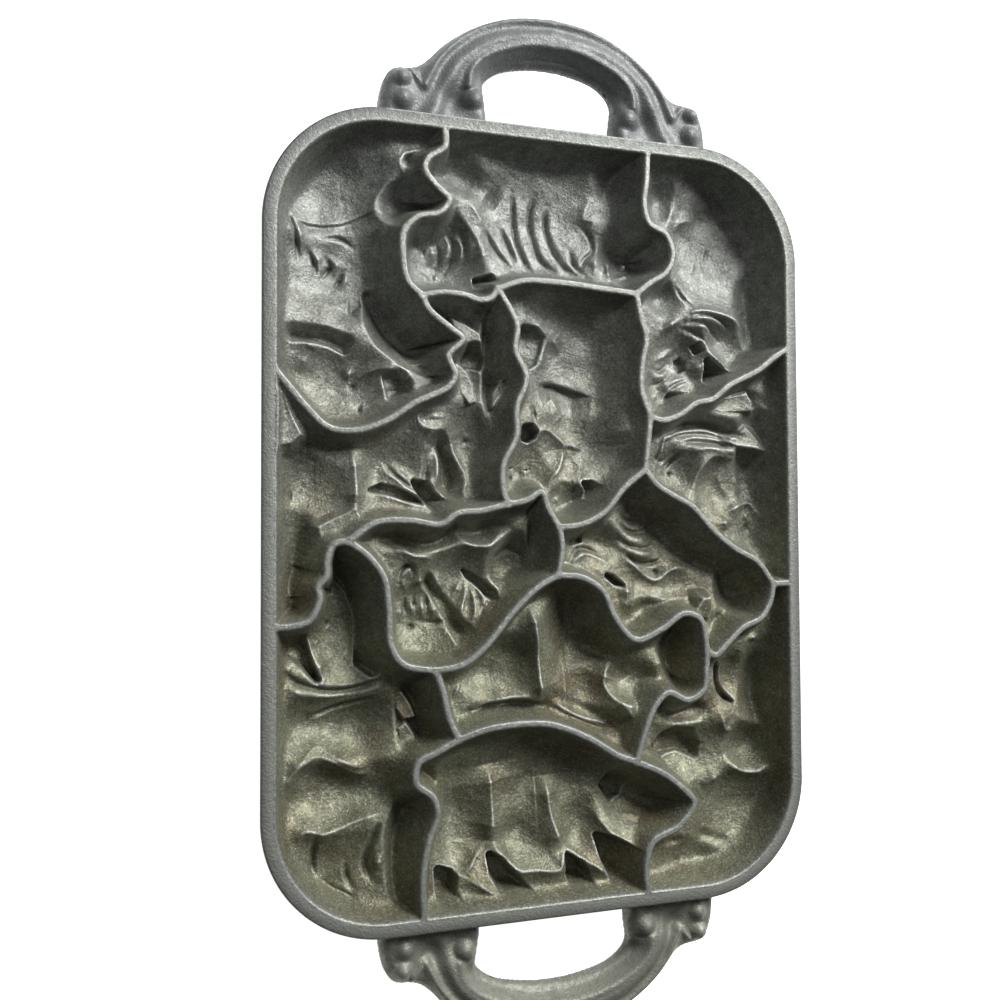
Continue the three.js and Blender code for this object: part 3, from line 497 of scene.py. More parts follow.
ANIMALS["rhino"] = {
    "floor": 9,
    "hollows": [
        (-73, -37, 14, 22, 0, 18), (-74.5, -71, 20, 13, 0, 19), (-75.5, -93, 22, 13, 0, 17),
        (-76.5, -120, 19, 16, 0, 14), (-46.5, -68, 9, 15, 0, 19), (-49.5, -115, 9, 21, 0, 19.5),
        (-90.5, -45, 5, 8, 30, 14)],
    "flats": [
        (11, 2.5, [(-55, -61), (-53, -60.5), (-50, -65), (-48.5, -69), (-52, -69.5), (-54.5, -66)]),
        (11, 2.5, [(-54, -73), (-51.5, -71.5), (-49, -75), (-47.5, -79), (-50, -82), (-53, -79)])],
    "pits": [
        (19, 3, [(-75.5, -12.5), (-69, -13.5), (-64, -21), (-63, -33), (-64, -52), (-68, -50), (-68.5, -33),
            (-71, -25), (-75.5, -19)]),
        (16.5, 5, [(-79.5, -23.5), (-77, -23), (-77, -26), (-79, -26.5)]),
        (17.5, 4, [(-94.5, -40), (-87.5, -40), (-86.3, -44), (-84.5, -50), (-82.5, -54.5), (-86.5, -50),
            (-90, -47.5), (-94, -44)])],
    "creases": [
        (2.5, 2.4, [(-78, -28.5), (-82, -35), (-85, -40.5)]),
        (2.5, 2.7, [(-93, -45.5), (-90.5, -49), (-87.5, -51.5)]),
        (2.5, 2.7, [(-95.5, -55.5), (-88.5, -59), (-80.5, -60.7), (-72.5, -60.7)]),
        (2.1, 2.4, [(-86, -67.5), (-80, -65), (-74, -63.3), (-68, -62), (-60, -59.7)]),
        (2.9, 3.3, [(-95.5, -94.5), (-92.5, -87), (-89, -82.7), (-85, -79), (-82, -77.6), (-78, -80),
            (-71, -84.3), (-63.5, -86)]),
        (2.5, 2.4, [(-94, -94), (-91, -86.7), (-86.5, -82), (-82, -80.7), (-77, -83), (-70, -87),
            (-62, -88.3)]),
        (2.5, 2.4, [(-91, -108), (-86, -105), (-81, -106.5), (-75, -105), (-67, -102.5), (-59, -101)]),
        (2.1, 2.4, [(-83.5, -45), (-82, -50), (-78, -55)])],
    "ridges": [
        (1.8, 1.6, [(-61.7, -114), (-62, -121.5)])],
    "grooves": [
        (2.6, 1.1, [(-94.5, -52), (-88.5, -55.7), (-81, -58.3), (-74, -59), (-67, -58), (-60, -55)]),
        (1.8, 0.9, [(-85, -69), (-80, -66.4), (-72, -64), (-62, -61.5)]),
        (2.6, 1.2, [(-82.5, -106.5), (-83.3, -113), (-83.5, -119), (-82.8, -124.5)]),
        (2, 1, [(-82, -122.3), (-77, -126.3), (-71.5, -129), (-68, -133), (-66, -136.5)]),
        (2, 1, [(-72.7, -117), (-71.5, -123), (-69.5, -128.5)]),
        (2.6, 1.3, [(-60.7, -103.5), (-63, -109.5), (-65.3, -116.5), (-64.7, -122), (-62.5, -125.5)]),
        (1.6, 1.2, [(-79.5, -36), (-77.5, -37)])],
}
ANIMALS["camel"] = {
    "floor": 9,
    "hollows": [
        (16, -41, 15, 17, 0, 19.5), (58, -53, 12, 14, 0, 19.5), (-17, -53, 17, 12, 10, 15),
        (33, -60, 15, 9, -15, 14), (-12.5, -69, 18, 4, 0, 14), (18, -60, 12, 12, 10, 15.5),
        (19.5, -72.3, 18, 5, -28, 14.5), (35.5, -82, 6, 9, 20, 18)],
    "creases": [
        (6.5, 4, [(-7, -31), (-6, -37), (-4.5, -45), (-4, -52), (-3.5, -60), (-2, -66.5)]),
        (6.3, 5, [(27, -53.5), (24, -57), (23.2, -61), (25.5, -65.8), (30.5, -68.5), (37.5, -69.7)]),
        (3.5, 4, [(45, -48), (45.7, -53), (48.5, -58), (52.5, -63), (55, -66)]),
        (2.1, 2.5, [(-22.5, -65.3), (-12, -63.8), (-3, -64.5)]),
        (3.5, 2.5, [(1.5, -67), (5, -68), (9, -70.2), (15, -72.8), (22, -75), (28.5, -77.5)]),
        (2.8, 2, [(1.5, -67), (2, -71), (3.5, -74.5)]),
        (3.5, 2.5, [(27, -66.8), (31, -71.5), (35, -76), (39, -79.3)])],
    "ridges": [
        (1, 2.2, [(-34.5, -60), (-32.5, -61)]),
        (1.4, 1, [(-24, -68.5), (-16, -68), (-7, -68.5)])],
    "grooves": [
        (1.8, 0.9, [(5, -69.5), (10, -72.3), (16, -75), (24, -78.3)]),
        (2, 2, [(41.5, -61.5), (43.5, -65)]),
        (1.8, 1.4, [(-31.5, -68.5), (-25.5, -68.5)])],
    "folds": [
        (2.4, 3, [(0, -67.3), (-4, -65.5), (-12, -64.8), (-21, -66), (-28, -68.7)])],
}
ANIMALS["monkey"] = {
    "floor": 9,
    "hollows": [
        (81, -111, 23, 18, 0, 15.5), (93, -65, 13, 18, 0, 18.5), (86, -88, 12, 10.5, 0, 17.5),
        (54.5, -89, 12, 10.5, 0, 15.5), (63, -129, 20, 9, 0, 14), (79, -62, 9, 11, 0, 15.5),
        (56.5, -73, 11, 5, 0, 14), (66, -89, 12, 14, 0, 13)],
    "pits": [
        (18, 2.5, [(46, -86), (49, -83), (54, -81.5), (60, -82.5), (63.5, -86.5), (63, -90), (56, -88),
            (49, -89)]),
        (18, 6, [(71, -56), (73, -57.5), (74, -63), (76.5, -67), (79, -70.5), (76, -69.5), (72.5, -66),
            (71, -62)])],
    "creases": [
        (2.5, 2.7, [(90, -52.5), (95, -52), (100, -53), (106, -57.5)]),
        (2.5, 3, [(70, -72), (72, -76), (74.3, -80.7), (82, -80.5)]),
        (3.4, 3.3, [(75, -91), (78, -95), (82, -97.3), (86.5, -98), (90, -97.3), (94, -95)]),
        (2.5, 2.7, [(65, -103), (69, -99.7), (75, -96.7)]),
        (2.5, 2.7, [(53, -91), (55, -95.5), (57, -98.5)]),
        (2, 2.4, [(51.5, -77.8), (59.5, -76.8), (65.5, -78.3)])],
    "ridges": [
        (1.8, 1.3, [(84, -47), (87.5, -46), (90, -47)])],
    "grooves": [
        (1.8, 2.2, [(60, -119.5), (70, -122.5), (80, -126)]),
        (1.8, 1.6, [(47, -121.5), (57, -121)]),
        (1.2, 1.4, [(53.5, -129), (55.5, -131)]),
        (1.6, 0.9, [(46.5, -84), (46.7, -89.5)])],
}
ANIMALS["bear"] = {
    "floor": 9,
    "hollows": [
        (-6, -98, 32, 20, 0, 16.5), (-30, -105, 13, 20, 0, 17), (40, -105, 22, 10, -10, 17.5),
        (-8.5, -111, 13, 14, 0, 16.5), (12.5, -111, 12, 14, -20, 15.5), (-44.5, -91, 4.5, 5.5, 0, 13)],
    "flats": [
        (9.5, 2, [(-33, -125), (-30, -126.5), (-24, -131), (-18, -136), (-16, -138.5), (-33, -138.5)]),
        (9.5, 2, [(-12, -125.5), (4, -127), (7.5, -131), (9, -138.5), (-5, -138.5), (-9, -131)]),
        (9.5, 2, [(15, -126), (20, -128), (25, -133), (28, -138.5), (18, -138.5), (16.5, -130)])],
    "pits": [
        (17.5, 5, [(-40.5, -122.5), (-36, -124), (-34.5, -126), (-35, -131), (-33.5, -134),
            (-39.5, -134.5)]),
        (17.5, 4, [(-21, -119.5), (-17.5, -121.5), (-12.5, -127.5), (-7, -134.5), (-12, -135),
            (-17, -130.5), (-20, -125.5)]),
        (17.5, 5, [(8, -122), (13, -125), (15.5, -129), (17, -134.5), (11, -134), (8.7, -128)]),
        (18.5, 4, [(20.5, -116.5), (25, -118), (32, -122), (40, -126), (40, -134.5), (30, -135), (26, -130),
            (23, -124)]),
        (19, 2.5, [(25, -99), (27, -96), (31, -96), (33, -99), (32, -103), (28, -104)])],
    "creases": [
        (3.2, 2.6, [(-21.5, -115), (-26, -119.3), (-30, -124), (-33.5, -125)]),
        (3.8, 3, [(-21.5, -115), (-17, -119.5), (-12.3, -124.5), (-5, -125.5), (4, -126), (6, -122),
            (7.7, -120), (14, -124), (20, -127.5), (25, -132)]),
        (3.4, 2.7, [(-30, -126), (-24, -130.3), (-17, -135.3)]),
        (4, 3.2, [(19, -105), (21, -110), (24.3, -114.7), (30, -118.7), (36, -122), (41, -124.7)]),
        (2.1, 2.7, [(30, -110), (37, -111), (44, -113)]),
        (5.6, 6, [(-21.3, -88), (-20.3, -99), (-20.3, -107), (-21.5, -115)]),
        (5, 5, [(1.3, -94), (2.3, -107), (4.3, -114), (7, -120)])],
    "grooves": [
        (1.6, 1, [(35, -113), (42, -115)]),
        (1, 3, [(-10.5, -109), (-6.5, -115)])],
}


def smooth_line(points):
    """A smooth line through points, with a point about every LINE_STEP (centripetal Catmull-Rom)."""
    points = np.array(points, float)
    padded = np.vstack([2 * points[0] - points[1], points, 2 * points[-1] - points[-2]])
    gaps = np.sqrt(np.linalg.norm(np.diff(padded, axis=0), axis=1))
    line = []
    for i in range(1, len(padded) - 2):
        before, start, end, after = padded[i - 1:i + 3]
        d0, d1, d2 = gaps[i - 1:i + 2]
        leave = ((start - before) / d0 - (end - before) / (d0 + d1) + (end - start) / d1) * d1
        reach = ((end - start) / d1 - (after - start) / (d1 + d2) + (after - end) / d2) * d1
        steps = max(1, round(np.linalg.norm(end - start) / LINE_STEP))
        t = np.linspace(0, 1, steps, endpoint=False)[:, None]
        line.append(start * (1 + t**2 * (2 * t - 3)) + end * t**2 * (3 - 2 * t)
                    + leave * t * (1 - t)**2 + reach * t**2 * (t - 1))
    return np.vstack([*line, points[-1:]])


def rounded_rectangle(width, length, radius):
    """Points clockwise round a rectangle with round corners, from the left end of its top edge."""
    across, along = width / 2 - radius, length / 2 - radius
    corners = [(across, along, 90), (across, -along, 0), (-across, -along, -90), (-across, along, -180)]
    corner_steps = round(CORNER_STEPS_PER_RADIUS * radius / LINE_STEP)
    line = []
    for x, y, start in corners:
        turns = np.radians(np.linspace(start, start - 90, corner_steps))
        line.append(np.column_stack([x + radius * np.cos(turns), y + radius * np.sin(turns)]))
    joined = np.vstack([*line, line[0][:1]])
    dense = []
    for one, other in zip(joined[:-1], joined[1:]):
        steps = max(1, round(np.linalg.norm(other - one) / LINE_STEP))
        dense.append(one + (other - one) * np.linspace(0, 1, steps, endpoint=False)[:, None])
    return np.vstack(dense)


class Relief:
    """A grid of points in plan, for working out heights of the iron on it."""

    def __init__(self, low, high):
        self.low = np.array(low, float)
        self.high = np.array(high, float)
        self.across = np.arange(low[0], high[0] + GRID_STEP / 2, GRID_STEP)
        self.along = np.arange(low[1], high[1] + GRID_STEP / 2, GRID_STEP)
        self.x, self.y = np.meshgrid(self.across, self.along)

    def middles(self):
        """The grid of the middles of this grid's cells."""
        return Relief(self.low + GRID_STEP / 2, self.high - GRID_STEP / 2)

    def window(self, points, reach):
        """The part of the grid within reach of the box round some points."""
        low = points.min(axis=0) - reach
        high = points.max(axis=0) + reach
        columns = slice(*np.searchsorted(self.across, [low[0], high[0]]))
        rows = slice(*np.searchsorted(self.along, [low[1], high[1]]))
        return rows, columns

    def inside(self, outline):
        """True at the grid points inside a closed line."""
        result = np.zeros(self.x.shape, bool)
        for (x0, y0), (x1, y1) in zip(outline, np.roll(outline, -1, axis=0)):
            rows = (self.along >= min(y0, y1)) & (self.along < max(y0, y1))
            if rows.any():
                crossing = x0 + (self.along[rows] - y0) * (x1 - x0) / (y1 - y0)
                result[rows] ^= self.across[None, :] < crossing[:, None]
        return result

    def near(self, line, reach):
        """Within reach of a line: the window, and there the distance, nearest point, way along and side."""
        window = self.window(line, reach)
        x, y = self.x[window], self.y[window]
        best = np.full(x.shape, np.inf)
        foot_x, foot_y, way, side = (np.zeros(x.shape) for _ in range(4))
        passed = 0.0
        for (x0, y0), (x1, y1) in zip(line[:-1], line[1:]):
            length = math.hypot(x1 - x0, y1 - y0)
            ux, uy = (x1 - x0) / length, (y1 - y0) / length
            t = np.clip((x - x0) * ux + (y - y0) * uy, 0, length)
            px, py = x0 + t * ux, y0 + t * uy
            gap = np.hypot(x - px, y - py)
            closer = gap < best
            best[closer] = gap[closer]
            foot_x[closer], foot_y[closer] = px[closer], py[closer]
            way[closer] = passed + t[closer]
            side[closer] = (ux * (y - y0) - uy * (x - x0))[closer]
            passed += length
        return window, best, foot_x, foot_y, way, side, passed


def keep_nearest(nearest, window, gap, foot_x, foot_y):
    """Takes over the distance and nearest point of a line wherever it is closer than those before."""
    closer = gap < nearest[0][window]
    for target, value in zip(nearest, (gap, foot_x, foot_y)):
        target[window] = np.where(closer, value, target[window])


def smooth_max(one, other, blend):
    """The larger of two values, rounded off where they are close."""
    return np.logaddexp(one / blend, other / blend) * blend


def smooth_min(one, other, blend):
    """The smaller of two values, rounded off where they are close."""
    return -smooth_max(-one, -other, blend)


def closed_outline(runs):
    """Chains stretches of line end to end into one closed line."""
    waiting = list(runs)
    line = [waiting.pop(0)]
    while waiting:
        end = line[-1][-1]
        gaps = [(np.linalg.norm(run[flip] - end), i, flip)
                for i, run in enumerate(waiting) for flip in (0, -1)]
        _, i, flip = min(gaps)
        run = waiting.pop(i)
        line.append(run[::-1] if flip else run)
    return np.vstack([run[:-1] for run in line])


relief = Relief((-PAN_WIDTH / 2, -PAN_LENGTH / 2), (PAN_WIDTH / 2, PAN_LENGTH / 2))
rim_line = rounded_rectangle(INSIDE_WIDTH, INSIDE_LENGTH, INSIDE_RADIUS)

# Stretches of rim between the dividers that reach it, clockwise
RIM_ENDS = [
    ("tiger", RIM_TIGER), ("elephant", RIM_ELEPHANT), ("goat", RIM_GOAT), ("monkey", RIM_MONKEY),
    ("bear", RIM_BEAR), ("rhino", RIM_RHINO), ("deer", RIM_DEER), ("bison", RIM_BISON)]
rim_marks = [np.linalg.norm(rim_line - end, axis=1).argmin() for _, end in RIM_ENDS]
runs = []
for i, (animal, start) in enumerate(RIM_ENDS):
    _, end = RIM_ENDS[(i + 1) % len(RIM_ENDS)]
    first, last = rim_marks[i], rim_marks[(i + 1) % len(RIM_ENDS)]
    stretch = np.roll(rim_line, -first, axis=0)[1:(last - first) % len(rim_line)]
    runs.append(((animal,), np.vstack([[start], stretch, [end]])))
for one, other, points in DIVIDERS:
    runs.append(((one, other), smooth_line(points)))


def mould_outline(animal):
    """The closed crest line round a mould."""
    return closed_outline([line for animals, line in runs if animal in animals])


# Depth of the walls, and the distance and nearest point of the crests, at every grid point
wall = np.full(relief.x.shape, float(PAN_HEIGHT))
crest_gap = np.full(relief.x.shape, np.inf)
crest_x, crest_y = relief.x.copy(), relief.y.copy()
for animals, line in runs:
    window, gap, foot_x, foot_y, *_ = relief.near(line, WALL_REACH)
    lean_x, lean_y = LEAN_TOWARDS
    lean = (relief.x[window] - foot_x) * lean_x + (relief.y[window] - foot_y) * lean_y
    facing = lean / np.maximum(gap, LEAST_GAP)
    slope = STEEP_WALL + (LEANING_WALL - STEEP_WALL) * (1 + facing) / 2
    if len(animals) == 1:
        slope = RIM_WALL_SLOPE
    ledge = np.maximum(gap - CREST_FLAT, 0)
    fall = slope * (np.sqrt(ledge**2 + CREST_ROUND**2) - CREST_ROUND)
    wall[window] = smooth_min(wall[window], fall, CREST_BLEND)
    keep_nearest((crest_gap, crest_x, crest_y), window, gap, foot_x, foot_y)


def oval(hollow, side=0, base=0):
    """Depth of an oval hollow at every grid point, or of the cup round it with margins."""
    x, y, half_x, half_y, turn, depth = hollow
    c, s = math.cos(math.radians(turn)), math.sin(math.radians(turn))
    u = ((relief.x - x) * c + (relief.y - y) * s) / (half_x + side)
    v = ((relief.y - y) * c - (relief.x - x) * s) / (half_y + side)
    return (depth + base) * (1 - HOLLOW_CURVE * (u**2 + v**2))


def taper(way, length, least=0):
    """How far a stroke has risen at ways along its length: least at its ends, then up to 1."""
    return np.clip(np.minimum(way, length - way) / min(STROKE_TAPER, length / 2), least, 1)


def stroke(points, half_width):
    """A tapered stroke: its window and its strength there, from 0 to 1."""
    line = smooth_line(points)
    window, gap, _, _, way, _, length = relief.near(line, STROKE_EXTENT * half_width)
    return window, taper(way, length, STROKE_END) * np.exp(-((gap / half_width)**2))


def crease(points, reach):
    """A sharp edge: its window and its strength there, most on the line and falling off on both sides."""
    line = smooth_line(points)
    window, gap, _, _, way, _, length = relief.near(line, STROKE_EXTENT * reach)
    return window, taper(way, length) * np.exp(-np.hypot(gap, CREASE_EDGE) / reach)


def fold(points, reach):
    """A one-sided step: its window and its strength there, most just left of the line, then fading."""
    line = smooth_line(points)
    window, gap, _, _, way, side, length = relief.near(line, FOLD_EXTENT * reach)
    fade = np.exp(-((gap / reach)**2))
    return window, taper(way, length) * fade * (1 + np.tanh(side / FOLD_EDGE)) / 2


def beyond(corners, reach):
    """How far grid points near a closed area lie outside it, 0 inside: the window and the distances there."""
    line = np.array([*corners, corners[0]], float)
    window, gap, *_ = relief.near(line, reach)
    return window, np.where(relief.inside(line[:-1])[window], 0, gap)


def unevenness(across, seed):
    """Smooth random bumps over the grid, about 1 high and of the given size across."""
    rng = np.random.default_rng(seed)
    field = np.zeros(relief.x.shape)
    for _ in range(BUMP_WAVES):
        way, start = rng.uniform(0, 2 * math.pi, 2)
        turns = 2 * math.pi / (across * rng.uniform(*WAVE_SPREAD))
        field += np.sin(turns * (math.cos(way) * relief.x + math.sin(way) * relief.y) + start)
    return field / math.sqrt(BUMP_WAVES / 2)


cast_bumps = LARGE_BUMPS * unevenness(LARGE_BUMP_SIZE, seed=1)
cast_bumps += SMALL_BUMPS * unevenness(SMALL_BUMP_SIZE, seed=2)


def carved_floor(carving):
    """Depth of a mould's floor at every grid point."""
    floor = np.full(relief.x.shape, float(carving["floor"]))
    for hollow in carving["hollows"]:
        floor = smooth_max(floor, oval(hollow), HOLLOW_BLEND)
    for step, reach, points in carving.get("folds", []):
        window, strength = fold(points, reach)
        floor[window] += step * strength
    for level, steepness, corners in carving.get("flats", []):
        window, gap = beyond(corners, AREA_REACH)
        floor[window] = smooth_min(floor[window], level + steepness * gap, AREA_BLEND)
    for level, steepness, corners in carving.get("pits", []):
        window, gap = beyond(corners, AREA_REACH)
        floor[window] = smooth_max(floor[window], level - steepness * gap, AREA_BLEND)
    for height, reach, points in carving.get("creases", []):
        window, strength = crease(points, reach)
        floor[window] -= height * strength
    for sign, kind in ((-1, "ridges"), (1, "grooves")):
        for height, half_width, points in carving.get(kind, []):
            window, strength = stroke(points, half_width)
            floor[window] += sign * height * strength
    return floor + cast_bumps


depth = np.zeros(relief.x.shape)
base = np.full(relief.x.shape, float(PLATE_LEVEL))
for animal, carving in ANIMALS.items():
    own = relief.inside(mould_outline(animal))
    bottom = np.full(relief.x.shape, float(PLATE_LEVEL))
    for hollow in carving["hollows"]:
        bottom = np.minimum(bottom, PAN_HEIGHT - oval(hollow, CUP_SIDE, CUP_BASE))
    depth[own] = smooth_min(wall, carved_floor(carving), FILLET)[own]
    base[own] = bottom[own]
depth = np.maximum(depth, 0)
top = PAN_HEIGHT - depth
base = np.maximum(base, PLATE_LEVEL - CUP_SLOPE * np.maximum(crest_gap - CUP_START, 0))
base = np.clip(np.minimum(base, top - LEAST_THICKNESS), 0, None)


def solid_between(name, grid, cells, upper, lower, edge_x, edge_y):
    """A closed piece over the chosen grid cells, between two height maps, its edge moved onto a line."""
    rows, columns = np.nonzero(cells)
    width = grid.x.shape[1]
    corner = rows * width + columns
    quads = np.column_stack([corner, corner + 1, corner + width + 1, corner + width])
    used, quads = np.unique(quads, return_inverse=True)
    quads = quads.reshape(-1, 4)
    sides = np.vstack([quads[:, [i, (i + 1) % 4]] for i in range(4)])
    count = len(used)
    keys = sides[:, 0].astype(np.int64) * count + sides[:, 1]
    twins = sides[:, 1].astype(np.int64) * count + sides[:, 0]
    rims = sides[~np.isin(keys, twins)]
    on_edge = np.zeros(count, bool)
    on_edge[rims.ravel()] = True
    x = np.where(on_edge, edge_x.ravel()[used], grid.x.ravel()[used])
    y = np.where(on_edge, edge_y.ravel()[used], grid.y.ravel()[used])
    high = np.column_stack([x, y, upper.ravel()[used]])
    low = np.column_stack([x, y, lower.ravel()[used]])
    skirt = np.column_stack([rims[:, 1], rims[:, 0], rims[:, 0] + count, rims[:, 1] + count])
    faces = np.vstack([quads, quads[:, ::-1] + count, skirt])
    return mesh_piece(name, np.vstack([high, low]) * MM, faces)


def mesh_piece(name, points, faces):
    """A smooth-shaded object from points in metres and four-cornered faces."""
    mesh = bpy.data.meshes.new(name)
    mesh.vertices.add(len(points))
    mesh.vertices.foreach_set("co", points.astype(np.float32).ravel())
    mesh.loops.add(faces.size)
    mesh.loops.foreach_set("vertex_index", faces.astype(np.int32).ravel())
    mesh.polygons.add(len(faces))
    mesh.polygons.foreach_set("loop_start", np.arange(0, faces.size, 4, dtype=np.int32))
    mesh.update(calc_edges=True)
    mesh.shade_smooth()
    mesh.set_sharp_from_angle(angle=math.radians(SHARP_ANGLE))
    piece = bpy.data.objects.new(name, mesh)
    bpy.context.scene.collection.objects.link(piece)
    return piece


def cell_owner():
    """The mould that each grid cell belongs to, judged at its middle."""
    middle = relief.middles()
    result = np.full(middle.x.shape, "", dtype="U10")
    for animal in ANIMALS:
        result[middle.inside(mould_outline(animal))] = animal
    return result


pieces = {}
cells = cell_owner()
for animal in ANIMALS:
    node = animal + "_mould"
    pieces[node] = solid_between(animal, relief, cells == animal, top, base, crest_x, crest_y)


def rim_piece():
    """The rim: its flat top, round outer edge, tapered outer wall and under edge, swept round the pan."""
    inner = rounded_rectangle(INSIDE_WIDTH, INSIDE_LENGTH, INSIDE_RADIUS)
    ahead = np.roll(inner, -1, axis=0) - np.roll(inner, 1, axis=0)
    outward = np.column_stack([-ahead[:, 1], ahead[:, 0]]) / np.linalg.norm(ahead, axis=1)[:, None]
    low = PAN_HEIGHT - RIM_HEIGHT
    r = RIM_EDGE_RADIUS
    turns = np.radians(np.linspace(90, 0, EDGE_STEPS))
    upper = [(RIM_WIDTH - r + r * math.cos(a), PAN_HEIGHT - r + r * math.sin(a)) for a in turns]
    foot = RIM_WIDTH - RIM_TAPER
    lower = [(foot - r + r * math.cos(a), low + r - r * math.sin(a)) for a in turns[::-1]]
    section = [(0, PAN_HEIGHT), *upper, *lower, (0, low)]
    rows = [np.column_stack([inner + outward * out, np.full(len(inner), height)]) for out, height in section]
    count = len(inner)
    index = np.arange(count)
    after = np.roll(index, -1)
    faces = []
    for i in range(len(section)):
        this = i * count
        other = (i + 1) % len(section) * count
        faces.append(np.column_stack([index + this, after + this, after + other, index + other]))
    return mesh_piece("rim", np.vstack(rows) * MM, np.vstack(faces))


pieces["rim"] = rim_piece()

# Handles
UPPER_SPREAD = 1.03
LOWER_SPREAD = 1.18
HANDLE_SHIFT = 3
HANDLE_TOP = 21
HANDLE_BOTTOM = 9
HANDLE_EDGE = 3.6
CHANNEL_DROP = 2.4
INNER_SLOPE = 0.8
SLOPE_START = 1
SLOPE_REACH = 40
EDGE_REACH = 30
ROOT_HALF = 70
INNER_BEAD_SIZE = (2.4, 2.0)
SCROLL_TOP = 155
SCROLL_FADE = 5
HANDLE_BOX = np.array([(-66, 134), (66, 186)], float)

# Half of the handle's outer line, its opening and the bead round that, from root to crown
HANDLE_SIDE = [
    (64.5, 136), (64.3, 145), (63.3, 151.5), (61.5, 156.5), (58.5, 159), (54, 159.6), (50, 160.8),
    (46.5, 163.5), (41.5, 168.7), (35.5, 173.3), (28, 177.7), (20.3, 181.1), (12, 183.3), (0, 184.4)]
OPENING_SIDE = [
    (24.5, 136), (24.5, 147), (25, 152), (25.3, 155.5), (24, 159), (19, 163.3), (10, 166), (0, 167)]
INNER_BEAD = [(31.5, 154.5), (31, 159), (29, 162.8), (25, 166.5), (14.5, 171.3), (5, 173.4), (0, 173.6)]

# Beads along the handle (rise, half width, half of their line)
OUTER_BEADS = [
    (1.8, 1.8, [(48.5, 153), (46.5, 157), (44, 162), (39.8, 167.3), (35.5, 171.5), (30, 175.7), (22, 179.4),
                (12, 181.9), (0, 182.8)]),
    (2.4, 3.2, [(46.5, 142), (43.5, 147), (40, 155), (36.5, 161.5), (32, 165.7), (25.5, 170.2), (18, 173.3),
                (8, 175.2), (0, 175.6)]),
    (1.0, 1.0, [(54, 158), (52, 155.8), (50, 153.6), (48.5, 152.8)])]

# Soft lumps on the handle (x, y, rise, radius), and balls at the ends of its scrolls (x, y, radius)
OUTER_LUMPS = [(57, 149.5, 1.2, 6.5)]
INNER_LUMPS = [(38, 149, -2.6, 4.6), (27.5, 144, 1.4, 4)]
OUTER_BALLS = [(56.5, 147, 5.6), (57, 154.5, 4.8)]
INNER_BALLS = [(29.5, 150, 6)]
BALL_RISE = 0.8
BALL_BLEND = 0.5


def both_sides(half):
    """A half line, followed by its mirror image back from the crown."""
    return [*half, *[(-x, y) for x, y in half[-2::-1]]]


def handle_piece(name, spread, turned):
    """A loop handle: beads that meet at its crown, a fall to its opening and soft scrolls at its roots.

    The opening and what lies round it are stretched sideways by the spread.
    """
    grid = Relief(*HANDLE_BOX)
    outer = smooth_line(both_sides(HANDLE_SIDE))
    opening = smooth_line(both_sides(OPENING_SIDE)) * (spread, 1)
    inner_bead = smooth_line(both_sides(INNER_BEAD)) * (spread, 1)
    root = np.array([(-ROOT_HALF, PAN_LENGTH / 2), (ROOT_HALF, PAN_LENGTH / 2)], float)
    edge_gap = np.full(grid.x.shape, np.inf)
    edge_x, edge_y = grid.x.copy(), grid.y.copy()
    free_gap = np.full(grid.x.shape, np.inf)
    for line, free in ((outer, True), (opening, True), (root, False)):
        window, gap, foot_x, foot_y, *_ = grid.near(line, EDGE_REACH)
        keep_nearest((edge_gap, edge_x, edge_y), window, gap, foot_x, foot_y)
        if free:
            free_gap[window] = np.minimum(free_gap[window], gap)
    channel = HANDLE_TOP - CHANNEL_DROP
    height = np.full(grid.x.shape, float(channel))
    window, gap, *_, side, _ = grid.near(inner_bead, SLOPE_REACH)
    above_scrolls = np.clip((grid.y[window] - SCROLL_TOP) / SCROLL_FADE, 0, 1)
    past_bead = np.where(side > 0, np.maximum(gap - SLOPE_START, 0), 0)
    height[window] -= INNER_SLOPE * above_scrolls * past_bead
    beads = [(rise, half_width, smooth_line([(sign * x, y) for x, y in points]))
             for rise, half_width, points in OUTER_BEADS for sign in (1, -1)]
    for rise, half_width, line in [*beads, (*INNER_BEAD_SIZE, inner_bead)]:
        window, gap, *_ = grid.near(line, STROKE_EXTENT * half_width)
        lift = np.exp(-((gap / half_width)**2))
        height[window] += np.maximum(channel + rise - height[window], 0) * lift
    for lumps, balls, stretch in ((OUTER_LUMPS, OUTER_BALLS, 1), (INNER_LUMPS, INNER_BALLS, spread)):
        for side in (-stretch, stretch):
            for x, y, rise, radius in lumps:
                height += rise * np.exp(-((grid.x - side * x)**2 + (grid.y - y)**2) / radius**2)
            for x, y, radius in balls:
                fall = ((grid.x - side * x)**2 + (grid.y - y)**2) / radius
                height = smooth_max(height, HANDLE_TOP + BALL_RISE - fall, BALL_BLEND)
    drop = np.maximum(HANDLE_EDGE - free_gap, 0)
    drop = HANDLE_EDGE - np.sqrt(np.maximum(HANDLE_EDGE**2 - drop**2, 0))
    upper = np.maximum(height - drop, HANDLE_BOTTOM + 2 * HANDLE_EDGE - drop)
    lower = HANDLE_BOTTOM + drop
    middle = grid.middles()
    chosen = middle.inside(outer) & ~middle.inside(opening) & (middle.y > PAN_LENGTH / 2)
    piece = solid_between(name, grid, chosen, upper, lower, edge_x, edge_y)
    if turned:
        piece.data.transform(Matrix.Rotation(math.pi, 4, "Z"))
    piece.data.transform(Matrix.Translation((HANDLE_SHIFT * MM, 0, 0)))
    return piece


pieces["upper_handle"] = handle_piece("handle_upper", UPPER_SPREAD, False)
pieces["lower_handle"] = handle_piece("handle_lower", LOWER_SPREAD, True)


# Where the colour changes along the pan, with painted warmer light and rust towards the near end, and up its
# walls, in metres
FAR_END = 0.09
NEAR_END = -0.05
CREST_FOOT = 0.0215
CREST_TOP = 0.0245

